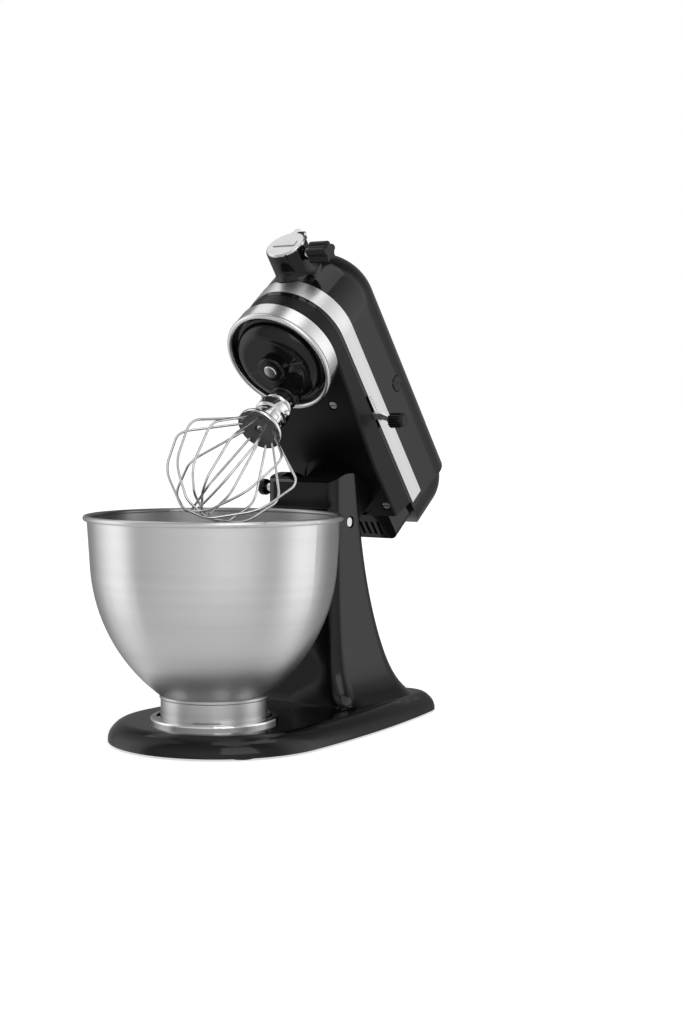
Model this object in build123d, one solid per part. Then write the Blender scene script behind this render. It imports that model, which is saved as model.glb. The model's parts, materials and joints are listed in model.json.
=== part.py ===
"""Tilt-head kitchen stand mixer: bowl, stand, drive head and wire whisk, in millimetres.

The origin is on the table under the bowl's axis. +Z is up, the bowl end faces -Y, and the
speed lever is on the +X side. Pieces of the head are drawn with the head lowered and are then
tilted up about the hinge pin, which is how the mixer stands at rest.
"""
import os
from math import acos, atan, atan2, cos, degrees, exp, pi, radians, sin, sqrt, tan

from build123d import *

# Fits and free spaces
run_fit = 0.05  # radial clearance of a shaft that turns in its bearing
seat_fit = 0.1  # clearance of a piece held in its seat
air = 0.4  # free space between pieces that pass each other
cut_over = 1.0  # how far a cutting shape runs past the piece that it cuts
edge_break = 0.6

# Base
table_gap = 2.0  # underside of the base above the table
base_band = 7.0
base_slope_rise = 10.0
base_slope_run = 10.0
base_shoulder_round = 14.0
base_front_radius = 97.0
base_front_center = 10.0
base_side_radius = 1100.0
base_rear = 262.0
base_corner_radius = 34.0
base_roof = 6.0
base_wall = 14.0
foot_radius = 11.0
foot_thickness = 6.0
foot_socket_wall = 3.0
foot_front = (62.0, -42.0)
foot_rear = (50.0, 226.0)
bolt_radius = 3.5
bolt_head_radius = 6.5
bolt_head_height = 4.0
bolt_length = 26.0
bolt_half_spacing = 26.6
bolt_setbacks = (26.0, 74.0)  # behind the column's front

# Bowl and its seat
clamp_wall = 5.4  # outside the pocket of the bowl's lugs
clamp_rise = 4.2  # above the base top
clamp_recess = 5.0
clamp_floor = 2.5
clamp_lip = 2.6
clamp_round = 2.2
clamp_screw_count = 5
clamp_screw_ring = 28.3
clamp_screw_radius = 2.0
clamp_screw_head = 4.0
clamp_screw_head_height = 1.3
clamp_screw_sink = 1.5
bowl_lugs = 4
bowl_lug_reach = 3.2
bowl_lug_height = 2.4
bowl_lug_angle = 24.0
bowl_gate_angle = 30.0  # gap in the clamp's lip that lets a lug in
bowl_unlock_angle = 30.0
bowl_radius = 110.5
bowl_rim_height = 194.5
bowl_lip_wire = 2.4  # radius of the rolled rim
bowl_lip_overhang = 3.3
bowl_wall = 1.2
bowl_curve_radius = 148.4
bowl_lean = 2.7  # of the straight upper side
bowl_straight_height = 150.0
bowl_foot_radius = 45.6
bowl_foot_height = 25.0
bowl_foot_wall = 1.4
bowl_foot_bead = 1.0
bowl_foot_bead_height = 3.0
bowl_dimple_radius = 16.0
bowl_dimple_rise = 5.0

# Column and hinge
bowl_column_gap = 13.0
hinge_setback = 25.5
hinge_height = 182.0
hinge_pin_radius = 4.7
hinge_pin_sink = 0.6  # pin end below the column's side
raise_angle = 52.4
ear_radius = 44.0
ear_thickness = 11.0
pin_dimple_depth = 1.2
pin_dimple_margin = 0.8
column_half_width = 38.0
column_waist = 6.0
column_waist_fade = 75.0
column_flare = 20.0  # extra half width at the foot
column_flare_fade = 13.0
column_toe = 9.0
column_depth = 36.0
column_heel = 84.0  # extra depth at the foot
column_heel_fade = 90.0
column_front_corner = 10.0
column_rear_corner = 14.0
column_front_wall = 8.0
column_core_wall = 4.0
hinge_lug_radius = 17.0
hinge_lug_rear = 19.0
grub_radius = 2.2
grub_length = 9.0
grub_slot = 0.8
stop_screw_radius = 3.0
stop_screw_depth = 11.0
lock_pin_radius = 4.0
lock_pin_travel = 8.0
lock_setforward = 10.0  # lock pin in front of the hinge
lock_rise = 30.0
lock_knob_radius = 7.5
lock_knob_length = 8.0
lock_knob_round = 2.5

# Head shell
head_clearance = 3.5  # between the column top and the head's underside
head_half_width = 50.0
head_height = 123.5
head_crown_radius = 46.0
head_wall = 3.0
case_height = 25.0
case_nose_rise = 10.0  # of the case's underside at the nose
case_slope_front = 10.0
case_slope_rear = 120.0
case_boss_wall = 3.0
case_screw_front = (28.0, 58.0)
case_screw_tail = (43.5, 170.0)
case_screw_radius = 2.0
case_screw_head = 4.2
case_screw_head_height = 2.4
case_screw_sink = 3.0
case_post_wall = 1.5
gasket_thickness = 0.5
gasket_inset = 0.8
band_gap = 4.5  # from the case joint up to the trim band
band_height = 17.5
band_thickness = 1.2
band_proud = 0.4
band_end = 190.0
seam_y = 197.0  # rear joint at the motor's height
seam_slope = 0.2
tail_end = 239.0
tail_inset = 4.0
tail_round = 40.0
tail_floor_rise = 32.5
tail_screw_rise = 8.0  # above the motor's axis
tail_screw_radius = 2.0
tail_screw_head = 4.2
tail_screw_head_height = 2.2
vent_half_width = 42.0
vent_reach = 28.0  # vent block behind the rear joint
vent_corner = 8.0
vent_count = 9
vent_width = 3.0
vent_pitch = 6.5
vent_slot_length = 15.0
vent_slot_setback = 5.0
gland_radius = 6.0
gland_x = 24.0
gland_collar = 1.6
gland_collar_length = 2.5
gland_nose_length = 3.5
gland_bore = 3.4
hinge_recess_radius = 36.5
hinge_recess_depth = 2.0

# Mixing drive
orbit_module = 1.25
ring_gear_teeth = 60
beater_pinion_teeth = 17
planet_phase = 80.0  # where the beater stands at rest, seen from above
ring_radius = 51.0
ring_height = 14.0
ring_drop = 3.5
ring_wall = 4.4
ring_lip = (0.9, 2.8, 4.7, 5.9)  # heights along the rolled lip
planet_radius = 43.6
planet_drop = 8.6  # below the gear deck
planet_edge = 5.0
planet_edge_chamfer = 2.6
planet_dish = 11.0
planet_flat_share = 0.62
planet_swell_share = 0.86
planet_arm_share = 0.72
boss_round = 2.0
center_shaft_radius = 6.0
center_shaft_proud = 1.6
center_boss_radius = 13.0
center_boss_drop = 22.0
center_arm_lift = 2.5
planet_pin_radius = 1.6
planet_pin_lift = 5.0
planet_pin_proud = 0.5
beater_shaft_radius = 6.2
beater_boss_radius = 12.0
beater_boss_drop = 27.4
bushing_wall = 2.4

# Gear train
drive_module = 1.5
center_gear_teeth = 40
drive_pinion_teeth = 16
worm_wheel_teeth = 24
worm_starts = 2
worm_pitch_radius = 6.5
worm_length = 32.0
worm_addendum = 0.9
worm_dedendum = 1.15
bevel_teeth = 24
bevel_face = 6.5
bevel_play = 0.8
bevel_addendum = 0.7
bevel_dedendum = 1.1
bevel_neck_share = 0.75
gear_face = 9.0
tooth_play = 0.45
pressure_angle = 20.0
drive_shaft_radius = 5.0
shaft_end_play = 1.0
deck_thickness = 4.0
gear_lift = 6.0  # gears above the deck
drive_bush_sink = 2.0
shelf_rise = 13.5  # upper bearing shelf above the motor's axis
shelf_thickness = 7.0
shelf_margin = 4.0

# Motor
motor_drop = 48.0  # motor axis below the head's top
motor_shaft_radius = 4.0
bulkhead_gap = 4.0
bulkhead_drop = 22.0
bulkhead_rise = 24.0
bearing_lip = 1.5
bearing_radius = 11.0
bearing_width = 8.0
brush_y = 85.0
brush_half_width = 4.0
brush_half_height = 2.6
brush_length = 18.6
brush_holder_gap = 3.0
brush_holder_radius = 6.5
brush_boss_wall = 3.0
brush_boss_length = 9.0
brush_cap_radius = 7.25
brush_cap_depth = 4.5
brush_cap_proud = 1.0
brush_cap_gap = 0.5  # open ring round the cap
brush_cap_slot = 1.6
brush_cap_turn = 50.0
commutator_radius = 12.0
commutator_length = 16.0
commutator_nick = (0.8, 1.2)  # width and depth
armature_radius = 24.5
armature_length = 46.0
armature_y = 138.0
armature_slots = 12
armature_slot = (3.2, 9.0)  # width and depth
winding_inset = 4.0
winding_length = 9.0
winding_round = 3.0
field_gap = 1.0
field_half_width = 42.0
field_half_height = 39.0
field_rib_half_length = 20.0
field_rib_half_height = 12.0
coil_half_width = 22.5
coil_thickness = 6.0
coil_overhang = 8.0
coil_seat = 1.5
coil_round = 6.0
fan_y = 180.0
fan_radius = 34.0
fan_hub_radius = 10.0
fan_half_length = 5.0
fan_disc = 2.0
fan_blade = 1.8
fan_blades = 9
bracket_gap = 16.0  # behind the fan's middle
bracket_thickness = 2.5
bracket_margin = 2.0
bracket_half_height = 14.0
bracket_seat_wall = 3.0
bracket_rib_length = 8.0
shaft_overrun = 2.0

# Attachment hub
hub_height = 66.0  # hub axis above the head's underside
hub_radius = 19.0
hub_bore_radius = 15.5
hub_end = 74.0  # hub face in front of the mixing axis
hub_bore_length = 40.0
hub_inner_end = 22.0
hub_blend = 7.0
hub_shaft_radius = 8.0
hub_socket_width = 9.0
hub_socket_depth = 13.0
hub_cover_thickness = 2.6
hub_cover_radius = 18.4
hub_cover_round = 1.4
hub_bar_half_length = 11.4
hub_bar_half_height = 3.6
hub_bar_proud = 0.9
cover_pin_radius = 1.3
cover_pin_setback = 2.0
cover_pin_rise = 3.4  # above the hub's top
cover_knuckle_radius = 1.9
cover_tab_half = 3.0
cover_ear_half = 6.5
cover_ear_radius = 2.4
cover_ear_length = 7.0
cover_pin_proud = 0.4
hub_knob_setback = 8.0
hub_knob_radius = 8.4
hub_knob_length = 20.0
hub_knob_gap = 5.5
hub_knob_lobes = 5
hub_knob_lobe_radius = 3.4
hub_knob_round = 2.2
hub_screw_radius = 3.0
hub_screw_collar = 2.0
hub_screw_collar_gap = 1.2
hub_screw_grip = 8.0  # length inside the knob

# Speed lever
lever_y = 86.0
lever_travel_back = 9.0
lever_travel_front = 18.0
lever_width = 7.0
lever_thickness = 2.4
lever_reach = 16.0
lever_bend_share = 0.55
lever_offset = 5.0  # knob behind the arm's root
lever_end = 4.0  # arm inside the knob
lever_end_share = 0.7
lever_root = 8.0  # arm's inner end below the head's side
lever_foot = (4.0, 12.0, 10.0)  # thickness, half length and height
speed_knob_radius = 6.8
speed_knob_length = 15.0
speed_knob_round = 3.0
speed_knob_flutes = 14
speed_knob_flute = 1.1
speed_knob_plain_end = 4.0
control_plate = 2.0
control_plate_front = 34.0
control_plate_rear = 26.0
control_plate_height = 22.0
control_tab_height = 8.0

# Whisk
collar_length = 31.6
collar_waist_radius = 13.2
collar_flange_radius = 15.0
collar_flange_span = (17.0, 26.5)  # heights of the flange above the plate
collar_top_radius = 10.6
collar_step = 1.6
collar_floor = 6.0
collar_panels = 6
collar_panel_angle = 46.0
collar_panel_depth = 0.7
collar_panel_span = (3.0, 14.0)
spring_length = 10.0
spring_wire = 0.75
spring_turns = 4
bayonet_pin_radius = 2.3
bayonet_pin_proud = 2.8
bayonet_pin_round = 0.8
beater_tip_chamfer = 1.2
whisk_plate_radius = 20.0
whisk_plate_thickness = 2.4
whisk_plate_hole = 4.9
whisk_wire_radius = 1.1
whisk_loops = 6
whisk_ring_radius = 16.2
whisk_neck = 1.0
whisk_neck_round = 3.0
whisk_widest_angle = 27.3  # direction of the widest loop
whisk_reach = (59.0, 37.0)  # shoulder radius of the widest loop and of one square to it
whisk_drop = (38.0, 50.0)  # shoulder below the plate on the same two
whisk_shoulder_round = (15.0, 27.0)
whisk_hip_inset = 13.0
whisk_hip_drop = 44.0  # hip below the shoulder
whisk_hip_round = (50.0, 18.0)
whisk_depth = 112.5
whisk_tip_half = 12.0
whisk_tip_round = 18.0
whisk_step = 2.6  # each loop's tip is this much higher than the one before, so that the wires cross

# Places that follow from the sizes above
base_shoulder = table_gap + base_band
base_top = base_shoulder + base_slope_rise
base_ceiling = base_top - base_roof - clamp_recess
foot_places = [(side * x, y) for x, y in (foot_front, foot_rear) for side in (-1, 1)] + [(0.0, 0.0)]
clamp_bottom = base_top - clamp_recess
clamp_pocket = bowl_foot_radius + bowl_lug_reach + air
clamp_radius = clamp_pocket + clamp_wall
clamp_top = base_top + clamp_rise
bowl_seat = clamp_bottom + clamp_floor
bowl_bottom = bowl_seat + bowl_foot_height
bowl_neck = bowl_rim_height - bowl_lip_wire
bowl_neck_radius = bowl_radius - bowl_lip_overhang
bowl_base_radius = bowl_foot_radius + bowl_foot_bead / 2
bowl_round_run = bowl_neck_radius - bowl_lean - bowl_base_radius
bowl_round_rise = bowl_straight_height - bowl_bottom
bowl_round_chord = sqrt(bowl_round_run**2 + bowl_round_rise**2)
bowl_round_setback = sqrt(bowl_curve_radius**2 - (bowl_round_chord / 2) ** 2) / bowl_round_chord
bowl_curve_x = bowl_base_radius + bowl_round_run / 2 - bowl_round_setback * bowl_round_rise
bowl_curve_height = bowl_bottom + bowl_round_rise / 2 + bowl_round_setback * bowl_round_run
column_front = bowl_radius + bowl_column_gap
bolt_places = [(side * bolt_half_spacing, column_front + y) for side in (-1, 1) for y in bolt_setbacks]
hinge_y = column_front + hinge_setback
hinge = Axis((0, hinge_y, hinge_height), (1, 0, 0))
slot_half_width = column_half_width - ear_thickness
slot_floor = hinge_height - hinge_lug_radius - 2 * air
hinge_lug_half = slot_half_width - air
lock_y = hinge_y - lock_setforward
lock_z = hinge_height + lock_rise
head_bottom = hinge_height + ear_radius + head_clearance
head_top = head_bottom + head_height
case_floor = head_bottom + head_wall
case_top = head_bottom + case_height
joint_z = case_top + gasket_thickness
band_bottom = joint_z + band_gap
band_inner = head_half_width + band_proud - band_thickness
motor_z = head_top - motor_drop
hub_z = head_bottom + hub_height
beyond = 2 * tail_end  # past every end of the mixer
orbit_radius = orbit_module * (ring_gear_teeth - beater_pinion_teeth) / 2
beater_x = orbit_radius * cos(radians(planet_phase))
beater_y = orbit_radius * sin(radians(planet_phase))
ring_bottom = head_bottom - ring_drop
ring_inner = ring_radius - ring_wall
spigot_inner = planet_radius + 2 * air
deck = ring_bottom + ring_height  # underside of the gear deck over the planetary
deck_top = deck + deck_thickness
gear_bottom = deck_top + gear_lift
gear_top = gear_bottom + gear_face
planet_top = deck - planet_drop
planet_bottom = planet_top - planet_edge
gear_ring_bottom = planet_top + 2 * air
pinion_top = deck - air
beater_boss_bottom = planet_top - beater_boss_drop
center_boss_bottom = planet_top - center_boss_drop
center_distance = drive_module * (center_gear_teeth + drive_pinion_teeth) / 2
wheel_radius = drive_module * worm_wheel_teeth / 2
wheel_x = -(worm_pitch_radius + wheel_radius)
wheel_y = sqrt(center_distance**2 - wheel_x**2)
bevel_pitch = drive_module * bevel_teeth / 2
worm_lead = worm_starts * pi * drive_module
worm_phase = 90 - 180 * worm_length / worm_lead
worm_front = wheel_y - worm_length / 2
bush_wall = bushing_wall + seat_fit
shelf_bottom = motor_z + shelf_rise
shelf_top = shelf_bottom + shelf_thickness
bulkhead_front = wheel_y + wheel_radius + drive_module + bulkhead_gap
bulkhead_rear = bulkhead_front + bearing_width + bearing_lip
bulkhead_bottom = motor_z - bulkhead_drop
bracket_front = fan_y + bracket_gap
shaft_rear = bracket_front + bearing_width + shaft_overrun
commutator_front = brush_y - commutator_length / 2
commutator_rear = brush_y + commutator_length / 2
core_front = armature_y - armature_length / 2
core_rear = armature_y + armature_length / 2
hub_step = hub_end - hub_bore_length
hub_shaft_end = hub_step - air
hub_knob_y = hub_knob_setback - hub_end
cover_pin_y = cover_pin_setback - hub_end
cover_pin_z = hub_z + hub_radius + cover_pin_rise
lever_z = joint_z + band_gap / 2
NODES = {}


def upright(radius, bottom, top, x=0.0, y=0.0):
    """Cylinder along Z."""
    return Pos(x, y, (bottom + top) / 2) * Cylinder(radius, top - bottom)


def across(radius, left, right, y, z):
    """Cylinder along X."""
    return Pos((left + right) / 2, y, z) * Rot(0, 90, 0) * Cylinder(radius, right - left)


def along(radius, front, rear, x, z):
    """Cylinder along Y."""
    return Pos(x, (front + rear) / 2, z) * Rot(90, 0, 0) * Cylinder(radius, rear - front)


def block(x_span, y_span, z_span):
    """Box between pairs of coordinates."""
    size = [b - a for a, b in (x_span, y_span, z_span)]
    middle = [(a + b) / 2 for a, b in (x_span, y_span, z_span)]
    return Pos(*middle) * Box(*size)


def about(middle, half):
    """Pair of coordinates on both sides of a middle."""
    return (middle - half, middle + half)


def polar(radius, angle):
    """Point at a radius and an angle in degrees."""
    return (radius * cos(radians(angle)), radius * sin(radians(angle)))


def sector(radius, start, end):
    """Slice of a disc between two angles in degrees."""
    first, middle, last = [polar(radius, angle) for angle in (start, (start + end) / 2, end)]
    return make_face([Line((0, 0), first), ThreePointArc(first, middle, last), Line(last, (0, 0))])


def turned(*points):
    """Solid of revolution about Z of a closed outline of radius and height."""
    return revolve(Plane.XZ * make_face(Polyline(*points, close=True)), Axis.Z)


def both_sides(shape):
    """The shape and its mirror image across the middle plane."""
    return [shape, mirror(shape, Plane.YZ)]


def ring_of(shape, count, axis=Axis.Z, start=0.0):
    """Copies of a shape spaced evenly about an axis."""
    return [shape.rotate(axis, start + 360 * i / count) for i in range(count)]


def join(shape, pieces):
    """A shape with pieces added to it one by one."""
    for piece in pieces:
        shape += piece
    return shape


def cut(shape, pieces):
    """A shape with pieces taken out of it one by one."""
    for piece in pieces:
        shape -= piece
    return shape


def rim_edges(shape, height):
    """Edges that lie in the level plane at a height."""
    return shape.edges().filter_by_position(Axis.Z, height - 0.01, height + 0.01)


def add(name, shapes, on_head=False):
    """Keep a sub-part under its name; pieces of the head are tilted up about the hinge."""
    solids = []
    for shape in shapes if isinstance(shapes, (list, tuple)) else [shapes]:
        solids += shape.solids()
    if on_head:
        solids = [solid.rotate(hinge, -raise_angle) for solid in solids]
    NODES[name] = solids[0] if len(solids) == 1 else Compound(children=solids)


def screw(head_radius, head_height, shank_radius, shank_length):
    """Slotted pan-head screw, its head's underside at z = 0 and the head upwards."""
    slot_depth = 0.4 * head_height
    head = upright(head_radius, 0, head_height)
    head = fillet(rim_edges(head, head_height), slot_depth)
    head -= block(about(0, head_radius), about(0, head_radius / 6),
                  (head_height - slot_depth, head_height + cut_over))
    return head + upright(shank_radius, -shank_length, 0)


def base_side(y):
    """Half width of the base at a distance behind the bowl's axis."""
    run = sqrt(base_side_radius**2 - (y - base_front_center) ** 2)
    return base_front_radius - base_side_radius + run


def base_outline():
    """Plan of the base: round front, gently curved sides and a straight rear."""
    middle = (base_front_center + base_rear) / 2
    rear_x = base_side(base_rear)
    right = (base_front_radius, base_front_center)
    left = (-base_front_radius, base_front_center)
    outline = make_face([
        ThreePointArc(left, (0, base_front_center - base_front_radius), right),
        ThreePointArc(right, (base_side(middle), middle), (rear_x, base_rear)),
        Line((rear_x, base_rear), (-rear_x, base_rear)),
        ThreePointArc((-rear_x, base_rear), (-base_side(middle), middle), left),
    ])
    return fillet(outline.vertices().group_by(Axis.Y)[-1], base_corner_radius)


def make_base():
    """Hollow base casting with its feet and the bolts that hold the column."""
    outline = base_outline()
    body = extrude(Pos(0, 0, table_gap) * outline, base_band)
    lean = degrees(atan(base_slope_run / base_slope_rise))
    body += extrude(Pos(0, 0, base_shoulder) * outline, base_slope_rise, taper=lean)
    body = fillet(rim_edges(body, base_top), base_shoulder_round)
    body = fillet(rim_edges(body, base_shoulder), base_shoulder_round)
    hollow = extrude(Pos(0, 0, table_gap) * offset(outline, -base_wall), base_ceiling - table_gap)
    hollow = cut(hollow, [upright(foot_radius + foot_socket_wall, table_gap, base_ceiling, x, y)
                          for x, y in foot_places])
    body -= hollow
    body = cut(body, [upright(foot_radius + seat_fit, table_gap, foot_thickness + seat_fit, x, y)
                      for x, y in foot_places])
    body -= upright(clamp_radius + seat_fit, clamp_bottom, base_top)
    body = cut(body, [upright(bolt_radius + seat_fit, base_ceiling, base_top, x, y) for x, y in bolt_places])
    add("base_plate", body)
    add("rubber_feet", [fillet(rim_edges(upright(foot_radius, 0, foot_thickness, x, y), 0), table_gap / 2)
                        for x, y in foot_places])
    bolt = screw(bolt_head_radius, bolt_head_height, bolt_radius, bolt_length).rotate(Axis.X, 180)
    add("column_bolts", [Pos(x, y, base_ceiling) * bolt for x, y in bolt_places])


def column_section(rise):
    """Level section of the column at a rise over the base top, wider near its foot."""
    half_width = column_half_width + column_waist * exp(-rise / column_waist_fade)
    half_width += column_flare * exp(-rise / column_flare_fade)
    front = column_front - column_toe * exp(-rise / column_flare_fade)
    rear = column_front + column_depth + column_heel * exp(-rise / column_heel_fade)
    corners = [(-half_width, front), (half_width, front), (half_width, rear), (-half_width, rear)]
    face = make_face(Polyline(*corners, close=True))
    fade = exp(-rise / (2 * column_flare_fade))
    face = fillet(face.vertices().group_by(Axis.Y)[0], column_front_corner * (1 + fade))
    face = fillet(face.vertices().group_by(Axis.Y)[-1], column_rear_corner * (1 + 2 * fade))
    return Pos(0, 0, base_top + rise) * face


def column_loft(lowest, highest, steps):
    """Smooth skin through level sections between two rises."""
    rises = [lowest + (highest - lowest) * i / steps for i in range(steps + 1)]
    return loft([column_section(rise) for rise in rises])


def make_column():
    """Column with the slot, bores and screws of the hinge."""
    flare_top = 4 * column_flare_fade
    body = column_loft(0, flare_top, 8)
    body += column_loft(flare_top, hinge_height + ear_radius - base_top, 4)
    trunk = block(about(0, beyond), (0, beyond), (base_top, hinge_height))
    body &= trunk + across(ear_radius, -beyond, beyond, hinge_y, hinge_height)
    slot_front = column_front + column_front_wall
    body -= block(about(0, slot_half_width), (slot_front, beyond), (slot_floor, head_bottom))
    body -= block(about(0, slot_half_width - column_core_wall),
                  (slot_front + column_core_wall, hinge_y + hinge_lug_rear),
                  (base_top + bolt_length, slot_floor - column_front_wall))
    pin_bore = hinge_pin_radius + seat_fit
    body -= across(pin_bore, -beyond, beyond, hinge_y, hinge_height)
    dimple = across(pin_bore + pin_dimple_margin, column_half_width - pin_dimple_depth, beyond,
                    hinge_y, hinge_height)
    body = cut(body, both_sides(dimple))
    body -= across(lock_pin_radius + run_fit, -beyond, cut_over - slot_half_width, lock_y, lock_z)
    grub_x = -(slot_half_width + ear_thickness / 2)
    grub_front = hinge_y + pin_bore
    body -= along(grub_radius + seat_fit, grub_front - cut_over, beyond, grub_x, hinge_height)
    stop_y = hinge_y - hinge_lug_radius / 2
    body -= upright(stop_screw_radius + seat_fit, slot_floor - stop_screw_depth - cut_over,
                    slot_floor + cut_over, 0, stop_y)
    body = cut(body, [upright(bolt_radius + seat_fit, base_top, base_ceiling + bolt_length + cut_over, x, y)
                      for x, y in bolt_places])
    add("column", body)

    pin_half = column_half_width - hinge_pin_sink
    pin = across(hinge_pin_radius, -pin_half, pin_half, hinge_y, hinge_height)
    add("hinge_pin", chamfer(pin.edges(), edge_break))
    grub_rear = grub_front + grub_length
    grub = along(grub_radius, grub_front, grub_rear, grub_x, hinge_height)
    grub -= block(about(grub_x, grub_slot / 2), about(grub_rear, grub_slot), about(hinge_height, grub_length))
    add("hinge_set_screw", grub)
    stop_edge = hinge_y - stop_y - stop_screw_radius
    stop_gap = air + hinge_lug_radius - sqrt(hinge_lug_radius**2 - stop_edge**2)
    add("head_height_screw", upright(stop_screw_radius, slot_floor - stop_screw_depth,
                                     slot_floor + stop_gap, 0, stop_y))


def make_lock():
    """Pin with a knob that slides through the column into the head's hinge lug."""
    knob_face = -column_half_width - lock_pin_travel - 2 * air
    knob_back = knob_face - lock_knob_length
    pin_back = knob_face - lock_knob_length / 2
    pin = across(lock_pin_radius, pin_back, -slot_half_width - air, lock_y, lock_z)
    add("head_lock_pin", chamfer(pin.edges(), edge_break))
    knob = fillet(across(lock_knob_radius, knob_back, knob_face, lock_y, lock_z).edges(), lock_knob_round)
    knob -= across(lock_pin_radius + seat_fit, pin_back - seat_fit, knob_face + cut_over, lock_y, lock_z)
    add("head_lock_knob", knob)


def make_bowl_seat():
    """Bright plate that takes the bowl's foot and holds its lugs under a gated lip."""
    lip_bottom = clamp_top - clamp_lip
    plate = upright(clamp_radius, clamp_bottom, clamp_top)
    plate = fillet(rim_edges(plate, clamp_top), clamp_round)
    plate -= upright(bowl_foot_radius + air, bowl_seat, clamp_top + cut_over)
    plate -= upright(clamp_pocket, bowl_seat, lip_bottom)
    gate = extrude(Pos(0, 0, lip_bottom - cut_over) * sector(clamp_pocket, *about(0, bowl_gate_angle / 2)),
                   clamp_lip + 2 * cut_over)
    plate = cut(plate, ring_of(gate, bowl_lugs, start=bowl_unlock_angle))
    place = Pos(clamp_screw_ring, 0, bowl_seat)
    hole = upright(clamp_screw_head + seat_fit, -clamp_screw_sink, cut_over)
    hole += upright(clamp_screw_radius + seat_fit, -clamp_floor, 0)
    plate = cut(plate, ring_of(place * hole, clamp_screw_count))
    add("bowl_clamp_plate", plate)
    fixing = screw(clamp_screw_head, clamp_screw_head_height, clamp_screw_radius,
                   clamp_floor - clamp_screw_sink)
    add("clamp_screws", ring_of(place * Pos(0, 0, -clamp_screw_sink) * fixing, clamp_screw_count))


def bowl_curve(z, inset=0.0):
    """Radius of the bowl's rounded side at a height, measured on a wall set in by inset."""
    radius = bowl_curve_radius - inset
    return bowl_curve_x + sqrt(radius**2 - (z - bowl_curve_height) ** 2)


def bowl_side(inset, bottom):
    """The side of the bowl from its floor up to the neck: a round, then a straight lean."""
    start = (bowl_curve(bottom, inset), bottom)
    middle_z = (bottom + bowl_straight_height) / 2
    knee = (bowl_curve(bowl_straight_height, inset), bowl_straight_height)
    neck = (bowl_neck_radius - inset, bowl_neck)
    return start, [ThreePointArc(start, (bowl_curve(middle_z, inset), middle_z), knee),
                   Line(knee, neck)], neck


def make_bowl():
    """Thin bowl with a rolled rim, on a foot band that carries the bayonet lugs."""
    floor = bowl_bottom + bowl_wall
    outer_start, outer, outer_neck = bowl_side(0, bowl_bottom)
    inner_start, inner, inner_neck = bowl_side(bowl_wall, floor)
    dimple = [(bowl_dimple_radius, 0), (bowl_dimple_radius / 2, bowl_dimple_rise), (0, bowl_dimple_rise)]
    under = Polyline(outer_start, *[(r, bowl_bottom + z) for r, z in dimple])
    over = Polyline(inner_start, *[(r, floor + z) for r, z in dimple])
    middle = Line((0, bowl_bottom + bowl_dimple_rise), (0, floor + bowl_dimple_rise))
    section = make_face([under, *outer, Line(outer_neck, inner_neck), *inner, over, middle])
    lip = Pos(bowl_radius - bowl_lip_wire, bowl_neck) * Circle(bowl_lip_wire)
    add("bowl", revolve(Plane.XZ * section, Axis.Z) + revolve(Plane.XZ * lip, Axis.Z))

    inner = bowl_foot_radius - bowl_foot_wall
    bead = bowl_foot_radius + bowl_foot_bead
    bead_bottom = bowl_bottom - bowl_foot_bead_height
    band = turned((inner, bowl_seat), (bowl_foot_radius, bowl_seat), (bowl_foot_radius, bead_bottom),
                  (bead, bead_bottom + bowl_foot_bead), (bead, bowl_bottom), (inner, bowl_bottom))
    lug = extrude(Pos(0, 0, bowl_seat) * sector(bowl_foot_radius + bowl_lug_reach,
                                                *about(0, bowl_lug_angle / 2)), bowl_lug_height)
    lug -= upright(bowl_foot_radius - bowl_foot_wall / 2, bowl_seat, bowl_bottom)
    add("bowl_foot_band", join(band, ring_of(lug, bowl_lugs)))


def stadium(radius, rear):
    """Plan of the head: a half-round nose about the mixing axis and straight sides."""
    return make_face([
        ThreePointArc((-radius, 0), (0, -radius), (radius, 0)),
        Line((radius, 0), (radius, rear)),
        Line((radius, rear), (-radius, rear)),
        Line((-radius, rear), (-radius, 0)),
    ])


def head_form(inset, bottom, rear):
    """The head's rounded form set in by inset, open-ended at the rear."""
    top = head_top - inset
    form = extrude(Pos(0, 0, bottom) * stadium(head_half_width - inset, rear), top - bottom)
    crown = rim_edges(form, top).sort_by(Axis.Y)[:-1]
    return fillet(crown, head_crown_radius - inset)


def seam_at(z):
    """Distance of the rear joint behind the mixing axis at a height."""
    return seam_y + seam_slope * (z - motor_z)


def seam_side(shape, side):
    """The portion of a shape on one side of the slanted rear joint."""
    joint = Plane((0, seam_y, motor_z), x_dir=(1, 0, 0), z_dir=(0, 1, -seam_slope))
    return split(shape, bisect_by=joint, keep=side)


def case_underside(y):
    """Height of the case's underside, which slopes up towards the nose."""
    share = (case_slope_rear - y) / (case_slope_rear - case_slope_front)
    return head_bottom + case_nose_rise * min(1.0, max(0.0, share))


def below_case(lift):
    """The portion under the sloping underside of the case, raised by a lift."""
    front = -head_half_width - cut_over
    low = head_bottom - cut_over
    corners = [(y, case_underside(y) + lift) for y in (front, case_slope_front, case_slope_rear)]
    face = make_face(Polyline(*corners, (case_slope_rear, low), (front, low), close=True))
    return extrude(Plane.YZ * face, head_half_width + cut_over, both=True)


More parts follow.
